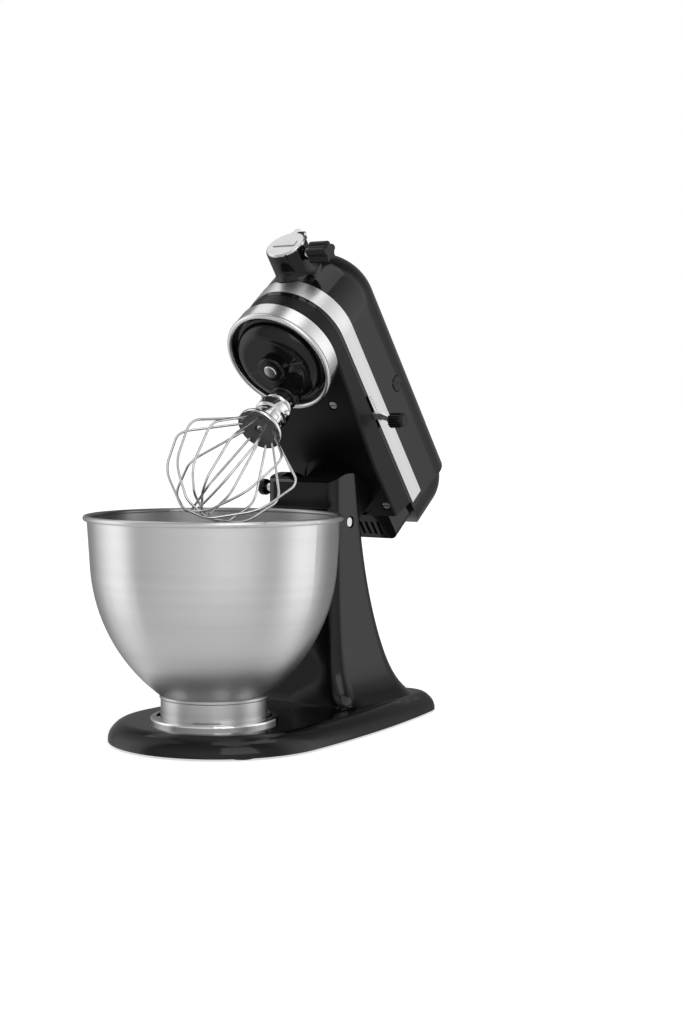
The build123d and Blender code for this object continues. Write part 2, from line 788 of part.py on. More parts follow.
def make_gear_case():
    """Lower half of the head with the hinge lug, its gasket, screws and shaft bushings."""
    body = extrude(Pos(0, 0, head_bottom) * stadium(head_half_width, beyond), case_height)
    body -= below_case(0)
    lower = body.edges().filter_by_position(Axis.Z, head_bottom, head_bottom + case_nose_rise)
    body = fillet(lower.filter_by(Axis.X, reverse=True).filter_by(Axis.Z, reverse=True), head_wall)
    hollow = extrude(Pos(0, 0, case_floor) * stadium(head_half_width - head_wall, beyond), case_height)
    hollow -= below_case(head_wall)
    hollow -= upright(ring_radius + head_wall + air, head_bottom, deck_top)
    body -= hollow
    low = head_bottom - cut_over
    body -= upright(ring_radius + seat_fit, low, deck)
    body += upright(ring_inner - seat_fit, head_bottom, deck) - upright(spigot_inner, head_bottom, deck)
    boss_top = gear_bottom - air
    center_bore = center_shaft_radius + bush_wall
    drive_bore = drive_shaft_radius + bush_wall
    body += upright(center_bore + case_boss_wall, case_floor, boss_top)
    body += upright(drive_bore + case_boss_wall, deck, boss_top, wheel_x, wheel_y)
    body -= upright(center_bore, head_bottom, gear_bottom)
    body -= upright(drive_bore, deck_top - drive_bush_sink, gear_bottom, wheel_x, wheel_y)
    for x, y in (case_screw_front, case_screw_tail):
        post = upright(case_screw_head + case_post_wall, case_underside(y) + cut_over, case_top, x, y)
        body = join(body, both_sides(post))
        hole = upright(case_screw_radius + seat_fit, low, case_top + cut_over, x, y)
        body = cut(body, both_sides(hole))
        sink = upright(case_screw_head + edge_break, low, case_underside(y) + case_screw_sink, x, y)
        body = cut(body, both_sides(sink))
    body -= upright(hinge_recess_radius, low, head_bottom + hinge_recess_depth, 0, hinge_y)
    lug = block(about(0, hinge_lug_half), (hinge_y - hinge_lug_radius, hinge_y + hinge_lug_rear),
                (hinge_height, case_floor))
    body += lug + across(hinge_lug_radius, -hinge_lug_half, hinge_lug_half, hinge_y, hinge_height)
    body -= across(hinge_pin_radius + run_fit, -beyond, beyond, hinge_y, hinge_height)
    body -= across(lock_pin_radius + air, -beyond, lock_pin_travel - slot_half_width + air, lock_y, lock_z)
    add("gear_case", seam_side(body, Keep.BOTTOM), on_head=True)

    gasket = extrude(Pos(0, 0, case_top) * stadium(head_half_width - gasket_inset, beyond), gasket_thickness)
    gasket -= extrude(Pos(0, 0, case_top) * stadium(head_half_width - head_wall, beyond), gasket_thickness)
    add("case_gasket", seam_side(gasket, Keep.BOTTOM), on_head=True)

    screws = []
    for x, y in (case_screw_front, case_screw_tail):
        seat = case_underside(y) + case_screw_sink
        fixing = screw(case_screw_head, case_screw_head_height, case_screw_radius, case_top - seat - cut_over)
        screws += both_sides(Pos(x, y, seat) * fixing.rotate(Axis.X, 180))
    add("case_screws", screws, on_head=True)
    bushes = []
    for radius, x, y, low in ((center_shaft_radius, 0, 0, case_floor),
                              (drive_shaft_radius, wheel_x, wheel_y, deck_top - drive_bush_sink)):
        bush = upright(radius + bushing_wall, low, boss_top, x, y)
        bushes.append(bush - upright(radius + run_fit, low, boss_top, x, y))
    add("gear_bushings", bushes, on_head=True)


def blended_hub_form():
    """The head's upper form with the hub barrel blended into its nose."""
    form = head_form(0, joint_z, beyond) + along(hub_radius, -hub_end, 0, 0, hub_z)
    root = [edge for edge in form.edges() if edge.geom_type not in (GeomType.LINE, GeomType.CIRCLE)
            and -hub_end < edge.center().Y < 0 and abs(edge.center().Z - hub_z) < hub_radius]
    return fillet(root, hub_blend)


def cover_hinge_ears():
    """The two ears over the hub that carry the cover's pin."""
    ears = block(about(0, cover_ear_half), (-hub_end, cover_ear_length - hub_end),
                 (hub_z + hub_radius - cover_ear_radius, cover_pin_z + cover_pin_radius))
    ears += across(cover_ear_radius, -cover_ear_half, cover_ear_half, cover_pin_y, cover_pin_z)
    ears -= block(about(0, cover_tab_half + air), about(-hub_end, cover_ear_length + cut_over),
                  (hub_z + hub_radius + seat_fit, head_top))
    return ears - along(hub_radius - cut_over, -hub_end - cut_over, 0, 0, hub_z)


def make_upper_housing():
    """Upper half of the head with the hub, the motor's bearers and the trim band."""
    body = blended_hub_form() - head_form(head_wall, joint_z, beyond)
    body += along(hub_radius, -hub_end, -hub_inner_end, 0, hub_z)
    ridge = head_half_width - head_wall / 2
    bulkhead = block(about(0, ridge), (bulkhead_front, bulkhead_rear),
                     (bulkhead_bottom, motor_z + bulkhead_rise))
    body += bulkhead & head_form(head_wall / 2, joint_z, beyond)
    shelf_left = wheel_x - drive_shaft_radius - bush_wall - shelf_margin
    shelf_right = center_shaft_radius + bush_wall + shelf_margin
    body += block((shelf_left, shelf_right), (-shelf_right, bulkhead_front + cut_over),
                  (shelf_bottom, shelf_top))
    rib_z = about(motor_z, field_rib_half_height)
    for rib_y in (about(armature_y, field_rib_half_length),
                  (bracket_front - bracket_rib_length, bracket_front)):
        body = join(body, both_sides(block((field_half_width, ridge), rib_y, rib_z)))
    boss = across(brush_holder_radius + brush_boss_wall, ridge - brush_boss_length, ridge, brush_y, motor_z)
    body = join(body, both_sides(boss))
    body -= along(hub_bore_radius, -hub_end - cut_over, -hub_step, 0, hub_z)
    body -= along(hub_shaft_radius + bush_wall, -hub_step - cut_over, cut_over - hub_inner_end, 0, hub_z)
    body -= along(bearing_radius + seat_fit, bulkhead_front + bearing_lip, bulkhead_rear + cut_over,
                  0, motor_z)
    body -= along(motor_shaft_radius + cut_over, bulkhead_front - cut_over, bulkhead_rear, 0, motor_z)
    for radius, x, y in ((center_shaft_radius, 0, 0), (drive_shaft_radius, wheel_x, wheel_y)):
        body -= upright(radius + run_fit, shelf_bottom - cut_over, shelf_top + cut_over, x, y)
    outside = head_half_width + cut_over
    holder = across(brush_holder_radius + seat_fit, ridge - brush_boss_length - cut_over, outside,
                    brush_y, motor_z)
    holder += across(brush_cap_radius + brush_cap_gap, head_half_width - brush_cap_depth, outside,
                     brush_y, motor_z)
    body = cut(body, both_sides(holder))
    groove = extrude(Pos(0, 0, band_bottom - seat_fit) * stadium(outside, band_end + seat_fit),
                     band_height + 2 * seat_fit)
    body -= groove - extrude(Pos(0, 0, band_bottom - cut_over) * stadium(band_inner - seat_fit, beyond),
                             band_height + 2 * cut_over)
    body -= block((head_half_width - 2 * head_wall, outside),
                  (lever_y - lever_travel_front - lever_width / 2 - 2 * air,
                   lever_y + lever_travel_back + lever_width / 2 + 2 * air),
                  about(lever_z, lever_thickness / 2 + air))
    for x, y in (case_screw_front, case_screw_tail):
        post = upright(case_screw_head + case_post_wall, joint_z, bulkhead_bottom + cut_over, x, y)
        body = join(body, both_sides(post & head_form(head_wall / 2, joint_z, beyond)))
    body -= across(hub_screw_radius + run_fit, hub_bore_radius - cut_over, hub_radius + cut_over,
                   hub_knob_y, hub_z)
    body += cover_hinge_ears()
    body -= across(cover_pin_radius + seat_fit, -cover_ear_half - cut_over, cover_ear_half + cut_over,
                   cover_pin_y, cover_pin_z)
    add("upper_housing", seam_side(body, Keep.BOTTOM), on_head=True)

    band = extrude(Pos(0, 0, band_bottom) * stadium(band_inner + band_thickness, band_end), band_height)
    band -= extrude(Pos(0, 0, band_bottom) * stadium(band_inner, beyond), band_height)
    add("trim_band", band, on_head=True)


def tail_form(inset):
    """The rear cover's rounded end, set in by inset."""
    top = head_top - tail_inset - inset
    bottom = head_bottom + tail_floor_rise + inset
    half = head_half_width - tail_inset - inset
    form = block(about(0, half), (0, tail_end - inset), (bottom, top))
    form = fillet(form.edges().filter_by(Axis.Y).group_by(Axis.Z)[-1], head_crown_radius - tail_inset - inset)
    end = form.faces().sort_by(Axis.Y)[-1]
    return fillet(end.edges(), tail_round - inset)


def vent_form(inset, rear):
    """The block under the rear cover that takes in the cooling air, set in by inset."""
    form = block(about(0, vent_half_width - inset), (0, rear - inset),
                 (head_bottom + inset, head_bottom + tail_floor_rise + 2 * head_wall))
    return fillet(form.edges().filter_by(Axis.Z).group_by(Axis.Y)[-1], vent_corner - inset)


def make_rear_cover():
    """Rear end of the head with vent slots, its screw and the gland for the cord."""
    rear = seam_at(head_bottom) + vent_reach
    body = tail_form(0) + vent_form(0, rear) - tail_form(head_wall) - vent_form(head_wall, rear)
    slot_rear = rear - vent_slot_setback
    for i in range(vent_count):
        x = (i - (vent_count - 1) / 2) * vent_pitch
        body -= block(about(x, vent_width / 2), (slot_rear - vent_slot_length, slot_rear),
                      about(head_bottom, head_wall + cut_over))
    screw_z = motor_z + tail_screw_rise
    body -= along(tail_screw_radius + seat_fit, tail_end - 2 * head_wall, tail_end + cut_over, 0, screw_z)
    gland_z = head_bottom + tail_floor_rise / 2
    body -= along(gland_radius + seat_fit, rear - 2 * head_wall, rear + cut_over, gland_x, gland_z)
    add("rear_cover", seam_side(body, Keep.TOP), on_head=True)

    fixing = screw(tail_screw_head, tail_screw_head_height, tail_screw_radius, 2 * head_wall)
    add("rear_cover_screw", Pos(0, tail_end, screw_z) * fixing.rotate(Axis.X, -90), on_head=True)
    collar_rear = rear + gland_collar_length
    gland = along(gland_radius, rear - head_wall - cut_over, collar_rear, gland_x, gland_z)
    gland += along(gland_radius + gland_collar, rear, collar_rear, gland_x, gland_z)
    gland += along(gland_radius - cut_over, collar_rear, collar_rear + gland_nose_length, gland_x, gland_z)
    gland -= along(gland_bore, 0, beyond, gland_x, gland_z)
    add("cord_bushing", gland, on_head=True)


def involute_roll(radius, base_radius):
    """Angle turned along an involute from its base circle to a radius."""
    if radius <= base_radius:
        return 0.0
    return sqrt((radius / base_radius) ** 2 - 1) - acos(base_radius / radius)


def gear_outline(module, teeth, play, addendum=1.0, dedendum=1.25):
    """Face of a spur gear whose flanks are arcs through the involute; play thins each tooth."""
    pitch = module * teeth / 2
    base_radius = pitch * cos(radians(pressure_angle))
    tip = pitch + addendum * module
    root = pitch - dedendum * module
    start = max(root, base_radius)
    half = pi / (2 * teeth) - play / (2 * pitch) + involute_roll(pitch, base_radius)
    root_half = half - involute_roll(root, base_radius)
    step = 2 * pi / teeth

    def at(radius, angle):
        return (radius * cos(angle), radius * sin(angle))

    def flank(radius, side, turn):
        return at(radius, turn + side * (half - involute_roll(radius, base_radius)))

    edges = []
    for i in range(teeth):
        turn = i * step
        rise = [flank(radius, -1, turn) for radius in (start, (start + tip) / 2, tip)]
        fall = [flank(radius, 1, turn) for radius in (tip, (start + tip) / 2, start)]
        foot_in, foot_out = at(root, turn - root_half), at(root, turn + root_half)
        if root < start:
            edges += [Line(foot_in, rise[0]), Line(fall[2], foot_out)]
        edges.append(ThreePointArc(*rise))
        edges.append(ThreePointArc(rise[2], at(tip, turn), fall[0]))
        edges.append(ThreePointArc(*fall))
        edges.append(ThreePointArc(foot_out, at(root, turn + step / 2), at(root, turn + step - root_half)))
    return make_face(edges)


def spur_gear(module, teeth, bottom, top, twist=0.0, **form):
    """Gear about Z between two heights, its teeth leaning by twist degrees over the face."""
    face = gear_outline(module, teeth, tooth_play, **form)
    if not twist:
        return extrude(Pos(0, 0, bottom) * face, top - bottom)
    return loft([Pos(0, 0, bottom) * Rot(0, 0, -twist / 2) * face,
                 Pos(0, 0, top) * Rot(0, 0, twist / 2) * face], ruled=True)


def bevel_gear():
    """Mitre gear about Z below the origin, its teeth pointing to an apex at the origin."""
    inner = (bevel_pitch - bevel_face) / bevel_pitch
    ends = [Pos(0, 0, -bevel_pitch * k) * gear_outline(drive_module * k, bevel_teeth, bevel_play * k,
                                                       bevel_addendum, bevel_dedendum) for k in (1, inner)]
    return loft(ends, ruled=True)


def make_drip_ring():
    """Bright ring with a rolled lip round the planetary, and the ring gear above it."""
    low, edge, groove, root = [ring_bottom + rise for rise in ring_lip]
    neck = ring_radius - ring_wall / 2
    ring = turned((ring_inner, low), (neck, ring_bottom), (ring_radius - ring_lip[0], low),
                  (ring_radius, edge), (ring_radius - ring_lip[0], groove), (neck, root), (neck, deck),
                  (ring_inner, deck))
    add("drip_ring", ring, on_head=True)
    gap = gear_outline(orbit_module, ring_gear_teeth, -tooth_play, addendum=1.25, dedendum=0.8)
    ring_gear = upright(spigot_inner - seat_fit, gear_ring_bottom, deck)
    ring_gear -= extrude(Pos(0, 0, gear_ring_bottom) * gap, deck - gear_ring_bottom)
    add("ring_gear", ring_gear, on_head=True)


def make_planetary():
    """Dished carrier that turns about the mixing axis and carries the beater shaft's bushing."""
    dish_bottom = planet_bottom - planet_dish
    shoulder = (planet_radius - planet_edge_chamfer, planet_bottom)
    swell = (planet_radius * planet_swell_share, dish_bottom + planet_dish / 3)
    flat = (planet_radius * planet_flat_share, dish_bottom)
    section = make_face([
        Polyline((0, planet_top), (planet_radius, planet_top), (planet_radius, planet_bottom + edge_break),
                 shoulder),
        ThreePointArc(shoulder, swell, flat),
        Polyline(flat, (0, dish_bottom), (0, planet_top)),
    ])
    body = revolve(Plane.XZ * section, Axis.Z)
    body += upright(center_boss_radius, center_boss_bottom, planet_top)
    body += upright(beater_boss_radius, beater_boss_bottom, planet_top, orbit_radius, 0)
    body += block((0, orbit_radius), about(0, center_boss_radius * planet_arm_share),
                  (center_boss_bottom + center_arm_lift, planet_top))
    body = fillet(rim_edges(body, beater_boss_bottom), boss_round)
    body = fillet(rim_edges(body, center_boss_bottom), boss_round)
    body -= upright(center_shaft_radius + seat_fit, center_boss_bottom - cut_over, planet_top + cut_over)
    body -= upright(beater_shaft_radius + bush_wall, beater_boss_bottom - cut_over, planet_top + cut_over,
                    orbit_radius, 0)
    pin_z = center_boss_bottom + planet_pin_lift
    pin_bore = along(planet_pin_radius + seat_fit, -beyond, beyond, 0, pin_z)
    add("planetary", (body - pin_bore).rotate(Axis.Z, planet_phase), on_head=True)

    shaft_bottom = center_boss_bottom - center_shaft_proud
    shaft = upright(center_shaft_radius, shaft_bottom, shelf_top - shaft_end_play)
    shaft = chamfer(rim_edges(shaft, shaft_bottom), edge_break)
    add("center_shaft", (shaft - pin_bore).rotate(Axis.Z, planet_phase), on_head=True)
    pin_half = center_boss_radius + planet_pin_proud
    pin = along(planet_pin_radius, -pin_half, pin_half, 0, pin_z)
    add("planetary_pin", pin.rotate(Axis.Z, planet_phase), on_head=True)

    gear = spur_gear(drive_module, center_gear_teeth, gear_bottom, gear_top)
    gear += upright(bevel_pitch * bevel_neck_share, gear_top - cut_over, hub_z - bevel_pitch)
    gear += Pos(0, 0, hub_z) * bevel_gear()
    gear -= upright(center_shaft_radius + seat_fit, gear_bottom - cut_over, hub_z)
    add("center_gear", gear, on_head=True)

    place = Pos(beater_x, beater_y, 0)
    bush = upright(beater_shaft_radius + bushing_wall, beater_boss_bottom, planet_top)
    bush -= upright(beater_shaft_radius + run_fit, beater_boss_bottom, planet_top)
    add("beater_bushing", place * bush, on_head=True)
    pinion = spur_gear(orbit_module, beater_pinion_teeth, planet_top + air, pinion_top)
    pinion -= upright(beater_shaft_radius + seat_fit, planet_top, deck)
    mesh_turn = planet_phase * (1 - ring_gear_teeth / beater_pinion_teeth)
    add("beater_pinion", place * pinion.rotate(Axis.Z, mesh_turn), on_head=True)


def make_drive():
    """Upright shaft from the worm to the centre gear, and the hub's own bevel gear."""
    place = Pos(wheel_x, wheel_y, 0)
    worm_lean = worm_lead / (2 * pi * worm_pitch_radius)
    wheel = spur_gear(drive_module, worm_wheel_teeth, *about(motor_z, gear_face / 2),
                      twist=degrees(gear_face * worm_lean / wheel_radius), addendum=worm_addendum)
    wheel -= upright(drive_shaft_radius + seat_fit, *about(motor_z, gear_face))
    add("worm_wheel", place * wheel, on_head=True)
    pinion = spur_gear(drive_module, drive_pinion_teeth, gear_bottom, gear_top)
    pinion -= upright(drive_shaft_radius + seat_fit, gear_bottom, gear_top)
    toward = degrees(atan2(wheel_y, wheel_x))
    mesh_turn = toward * (1 + center_gear_teeth / drive_pinion_teeth) + 180 + 180 / drive_pinion_teeth
    add("drive_pinion", place * pinion.rotate(Axis.Z, mesh_turn), on_head=True)
    shaft_bottom = deck_top - drive_bush_sink + seat_fit
    shaft = upright(drive_shaft_radius, shaft_bottom, shelf_top - shaft_end_play)
    add("drive_shaft", place * shaft, on_head=True)

    gear = bevel_gear().rotate(Axis.Z, 180 / bevel_teeth)
    gear += upright(hub_shaft_radius, -hub_shaft_end, -bevel_pitch)
    socket = about(0, hub_socket_width / 2)
    gear -= block(socket, socket, (-hub_shaft_end - cut_over, hub_socket_depth - hub_shaft_end))
    add("hub_gear", Pos(0, 0, hub_z) * gear.rotate(Axis.X, -90), on_head=True)
    bush = along(hub_shaft_radius + bushing_wall, -hub_step, -hub_inner_end, 0, hub_z)
    bush -= along(hub_shaft_radius + run_fit, -hub_step, -hub_inner_end, 0, hub_z)
    add("hub_bushing", bush, on_head=True)


def worm_thread():
    """Worm about Z: its level section turned steadily along a helix."""
    tip = worm_pitch_radius + worm_addendum * drive_module
    root = worm_pitch_radius - worm_dedendum * drive_module
    share = 0.5 - tooth_play / (pi * drive_module)
    lean = tan(radians(pressure_angle)) / pi
    step = 360 / worm_starts
    tip_half = step * (share / 2 - worm_addendum * lean)
    root_half = step * (share / 2 + worm_dedendum * lean)
    edges = []
    for i in range(worm_starts):
        turn = i * step
        up, over = polar(root, turn - root_half), polar(tip, turn - tip_half)
        back, down = polar(tip, turn + tip_half), polar(root, turn + root_half)
        following = polar(root, turn + step - root_half)
        edges += [Line(up, over), ThreePointArc(over, polar(tip, turn), back), Line(back, down),
                  ThreePointArc(down, polar(root, turn + step / 2), following)]
    guide = Helix(pitch=worm_lead, height=worm_length, radius=2 * tip)
    return sweep(make_face(edges), path=Line((0, 0, 0), (0, 0, worm_length)), binormal=guide)


def make_armature():
    """Motor shaft with its worm, the slotted core, windings, commutator and fan."""
    axis = Axis((0, 0, motor_z), (0, 1, 0))
    shaft = along(motor_shaft_radius, worm_front + worm_length - cut_over, shaft_rear, 0, motor_z)
    worm = worm_thread().rotate(Axis.Z, worm_phase).rotate(Axis.X, -90)
    add("armature_shaft", shaft + Pos(0, worm_front, motor_z) * worm, on_head=True)
    bore = along(motor_shaft_radius + seat_fit, 0, beyond, 0, motor_z)

    slot_width, slot_depth = armature_slot
    slot = block(about(0, slot_width / 2), (core_front - cut_over, core_rear + cut_over),
                 (motor_z + armature_radius - slot_depth, motor_z + armature_radius + cut_over))
    core = along(armature_radius, core_front, core_rear, 0, motor_z)
    add("armature_core", cut(core, ring_of(slot, armature_slots, axis)) - bore, on_head=True)
    winding = along(armature_radius - winding_inset, core_front - winding_length, core_front, 0, motor_z)
    winding += along(armature_radius - winding_inset, core_rear, core_rear + winding_length, 0, motor_z)
    winding = fillet(winding.edges().filter_by(GeomType.CIRCLE), winding_round)
    add("armature_windings", winding - bore, on_head=True)

    nick_width, nick_depth = commutator_nick
    nick = block(about(0, nick_width / 2), (commutator_front - cut_over, commutator_rear + cut_over),
                 (motor_z + commutator_radius - nick_depth, motor_z + commutator_radius + cut_over))
    copper = along(commutator_radius, commutator_front, commutator_rear, 0, motor_z)
    add("commutator", cut(copper, ring_of(nick, 2 * armature_slots, axis)) - bore, on_head=True)

    fan_front, fan_rear = about(fan_y, fan_half_length)
    fan = along(fan_hub_radius, fan_front, fan_rear, 0, motor_z)
    fan += along(fan_radius, fan_front, fan_front + fan_disc, 0, motor_z)
    blade = block(about(0, fan_blade / 2), (fan_front + fan_disc / 2, fan_rear),
                  (motor_z + fan_hub_radius - cut_over, motor_z + fan_radius))
    add("cooling_fan", join(fan, ring_of(blade, fan_blades, axis)) - bore, on_head=True)


def make_stator():
    """Field iron and coils, shaft bearings, and the brushes with their holders and caps."""
    field = along(field_half_width + bracket_margin, core_front, core_rear, 0, motor_z)
    field &= block(about(0, field_half_width), (0, beyond), about(motor_z, field_half_height))
    field -= along(armature_radius + field_gap, 0, beyond, 0, motor_z)
    coil_low = armature_radius + field_gap + coil_seat
    coils = []
    for side in (-1, 1):
        low, high = sorted((motor_z + side * coil_low, motor_z + side * (coil_low + coil_thickness)))
        field -= block(about(0, coil_half_width + seat_fit), (0, beyond), (low - seat_fit, high + seat_fit))
        coil = block(about(0, coil_half_width), (core_front - coil_overhang, core_rear + coil_overhang),
                     (low, high))
        coils.append(fillet(coil.edges().filter_by(Axis.Z), coil_round))
    add("motor_field", field, on_head=True)
    add("field_coils", coils, on_head=True)

    bracket = block(about(0, field_half_width + bracket_margin),
                    (bracket_front, bracket_front + bracket_thickness), about(motor_z, bracket_half_height))
    bracket += along(bearing_radius + bracket_seat_wall, bracket_front, bracket_front + bearing_width,
                     0, motor_z)
    bracket -= along(bearing_radius + seat_fit, bracket_front - cut_over, beyond, 0, motor_z)
    bracket &= tail_form(head_wall + air)
    add("rear_bearing_bracket", bracket, on_head=True)
    bore = along(motor_shaft_radius + run_fit, 0, beyond, 0, motor_z)
    add("motor_bearings", [along(bearing_radius, front, front + bearing_width, 0, motor_z) - bore
                           for front in (bulkhead_front + bearing_lip, bracket_front)], on_head=True)

    holder_in = commutator_radius + brush_holder_gap
    holder_out = head_half_width - brush_cap_depth
    holder = across(brush_holder_radius, holder_in, holder_out, brush_y, motor_z)
    holder -= block((holder_in - cut_over, holder_out + cut_over), about(brush_y, brush_half_width),
                    about(motor_z, brush_half_height))
    add("brush_holders", both_sides(holder), on_head=True)
    brush_in = commutator_radius + air
    brush = block((brush_in, brush_in + brush_length), about(brush_y, brush_half_width - seat_fit),
                  about(motor_z, brush_half_height - seat_fit))
    add("carbon_brushes", both_sides(brush), on_head=True)
    cap_face = head_half_width + brush_cap_proud
    cap = across(brush_cap_radius, holder_out, cap_face, brush_y, motor_z)
    cap = fillet(cap.edges().sort_by(Axis.X)[-1], brush_cap_proud)
    cap_axis = Axis((0, brush_y, motor_z), (1, 0, 0))
    slot = block((cap_face - brush_cap_slot, cap_face + cut_over), about(brush_y, beyond),
                 about(motor_z, brush_cap_slot / 2))
    cap -= slot.rotate(cap_axis, brush_cap_turn)
    add("brush_caps", both_sides(cap), on_head=True)


def make_hub():
    """Hinged cover over the attachment hub, and the knob that clamps an attachment."""
    front = -hub_end - hub_cover_thickness
    back = -hub_end - air / 2
    cover = along(hub_cover_radius, front, back, 0, hub_z)
    cover = fillet(cover.edges().group_by(Axis.Y)[0], hub_cover_round)
    cover += block(about(0, hub_bar_half_length), (front - hub_bar_proud, front + hub_bar_proud),
                   about(hub_z, hub_bar_half_height))
    tab_x = about(0, cover_tab_half)
    knuckle = about(cover_pin_z, cover_knuckle_radius)
    cover += block(tab_x, (front, back), (hub_z + hub_cover_radius - cover_tab_half, knuckle[1]))
    cover += block(tab_x, (front + edge_break, cover_pin_y), knuckle)
    cover += across(cover_knuckle_radius, *tab_x, cover_pin_y, cover_pin_z)
    cover -= across(cover_pin_radius + run_fit, -beyond, beyond, cover_pin_y, cover_pin_z)
    add("hub_cover", cover, on_head=True)
    pin_half = cover_ear_half + cover_pin_proud
    add("hub_cover_pin", across(cover_pin_radius, -pin_half, pin_half, cover_pin_y, cover_pin_z), on_head=True)

    grip_start = hub_radius + hub_knob_gap
    grip_seat = grip_start + hub_screw_grip
    stem = across(hub_screw_radius, hub_bore_radius + air, grip_seat, hub_knob_y, hub_z)
    stem += across(hub_screw_radius + hub_screw_collar, hub_radius + hub_screw_collar_gap, grip_start,
                   hub_knob_y, hub_z)
    add("hub_knob_screw", stem, on_head=True)
    face = Circle(hub_knob_radius - cut_over)
    lobe = Circle(hub_knob_lobe_radius)
    for i in range(hub_knob_lobes):
        face += Pos(*polar(hub_knob_radius - 2 * cut_over, 360 * (i + 0.5) / hub_knob_lobes)) * lobe
    grip = extrude(face, hub_knob_length)
    grip = fillet(rim_edges(grip, hub_knob_length), hub_knob_round)
    grip = fillet(rim_edges(grip, 0), edge_break)
    grip = Pos(grip_start, hub_knob_y, hub_z) * grip.rotate(Axis.Y, 90)
    grip -= across(hub_screw_radius + seat_fit, grip_start - cut_over, grip_seat + seat_fit, hub_knob_y, hub_z)
    add("hub_knob", grip, on_head=True)


def make_speed_lever():
    """Lever and knob that slide along the head's side, and the plate that the lever works on."""
    low, high = about(lever_z, lever_thickness / 2)
    inside = head_half_width - lever_root
    start = head_half_width + lever_reach
    bend = head_half_width + lever_reach * lever_bend_share
    end = start + lever_end
    knob_y = lever_y + lever_offset
    half = lever_width / 2
    end_half = half * lever_end_share
    route = [(inside, lever_y - half), (bend, lever_y - half), (end, knob_y - end_half),
             (end, knob_y + end_half), (bend, lever_y + half), (inside, lever_y + half)]
    arm = extrude(Pos(0, 0, low) * make_face(Polyline(*route, close=True)), lever_thickness)
    foot_thick, foot_half, foot_high = lever_foot
    arm += block((inside - foot_thick, inside), about(lever_y, foot_half), (low, low + foot_high))
    add("speed_lever", arm, on_head=True)

    knob = across(speed_knob_radius, start, start + speed_knob_length, knob_y, lever_z)
    knob = fillet(knob.edges().sort_by(Axis.X)[-1], speed_knob_round)
    flute = across(speed_knob_flute, start - cut_over, start + speed_knob_length - speed_knob_plain_end,
                   knob_y + speed_knob_radius, lever_z)
    knob = cut(knob, ring_of(flute, speed_knob_flutes, Axis((0, knob_y, lever_z), (1, 0, 0))))
    knob -= block((start - cut_over, end + seat_fit), (lever_y - half, knob_y + end_half + 3 * air),
                  (low - seat_fit, high + seat_fit))
    add("speed_knob", knob, on_head=True)

    plate_x = inside - foot_thick - air
    rear = (lever_y + control_plate_rear - control_plate, lever_y + control_plate_rear)
    top = joint_z + control_plate_height
    plate = block((plate_x - control_plate, plate_x), (lever_y - control_plate_front, rear[1]),
                  (joint_z + cut_over, top))
    plate += block((plate_x - control_plate, head_half_width), rear, (top - control_tab_height, top))
    add("speed_control_plate", plate & head_form(head_wall, joint_z, beyond), on_head=True)


def make_beater_spring(lowest, highest):
    """Coil spring round the beater shaft, of short arcs along a helix between two heights."""
    turn_radius = beater_shaft_radius + seat_fit + 2 * spring_wire
    climb = highest - lowest

    def coil_point(turns):
        x, y = polar(turn_radius, 360 * turns)
        return (x, y, lowest + climb * turns / spring_turns)

    path = Wire([ThreePointArc(*[coil_point((i + part) / 4) for part in (0, 0.5, 1)])
                 for i in range(4 * spring_turns)])
    print("beater spring, least gap between turns:", round(climb / spring_turns - 2 * spring_wire, 2), "mm")
    return sweep(Plane(coil_point(0), z_dir=path % 0) * Circle(spring_wire), path=path)


def whisk_loop(i, collar_bottom, plate_bottom):
    """One bent wire of the whisk: out to a shoulder, in past a hip to its tip and back up."""
    angle = whisk_widest_angle + 180 * (i / whisk_loops - 0.5)
    share = abs(2 * i / whisk_loops - 1)

    def graded(pair):
        return pair[0] + (pair[1] - pair[0]) * share

    reach, drop = graded(whisk_reach), graded(whisk_drop)
    shoulder = (reach, plate_bottom - drop)
    hip = (reach - whisk_hip_inset, plate_bottom - drop - whisk_hip_drop)
    rank = 2 * abs(i - whisk_loops / 2) - (i < whisk_loops / 2)
    tip = (whisk_tip_half, plate_bottom - whisk_depth + whisk_step * rank)
    half = [(whisk_ring_radius, collar_bottom), (whisk_ring_radius, plate_bottom - whisk_neck),
            shoulder, hip, tip]
    route = half + [(-x, z) for x, z in reversed(half)]
    rounds = [whisk_neck_round, graded(whisk_shoulder_round), graded(whisk_hip_round), whisk_tip_round]
    path = Plane.XZ * FilletPolyline(*route, radius=rounds + rounds[::-1])
    wire = sweep(Pos(whisk_ring_radius, 0, collar_bottom) * Circle(whisk_wire_radius), path=path)
    return wire.rotate(Axis.Z, angle)


def make_collar(bottom, top):
    """Bright collar of the whisk: a waist with sunk panels under a flange."""
    low, high = [bottom + height for height in collar_flange_span]
    collar = turned((0, bottom), (collar_waist_radius, bottom), (collar_waist_radius, low),
                    (collar_flange_radius, low + collar_step), (collar_flange_radius, high),
                    (collar_top_radius, high + collar_step), (collar_top_radius, top), (0, top))
    panel_low, panel_high = [bottom + height for height in collar_panel_span]
    panel = extrude(Pos(0, 0, panel_low) * sector(collar_flange_radius, *about(0, collar_panel_angle / 2)),
                    panel_high - panel_low)
    panel -= upright(collar_waist_radius - collar_panel_depth, panel_low, panel_high)
    return cut(collar, ring_of(panel, collar_panels, start=180 / collar_panels))


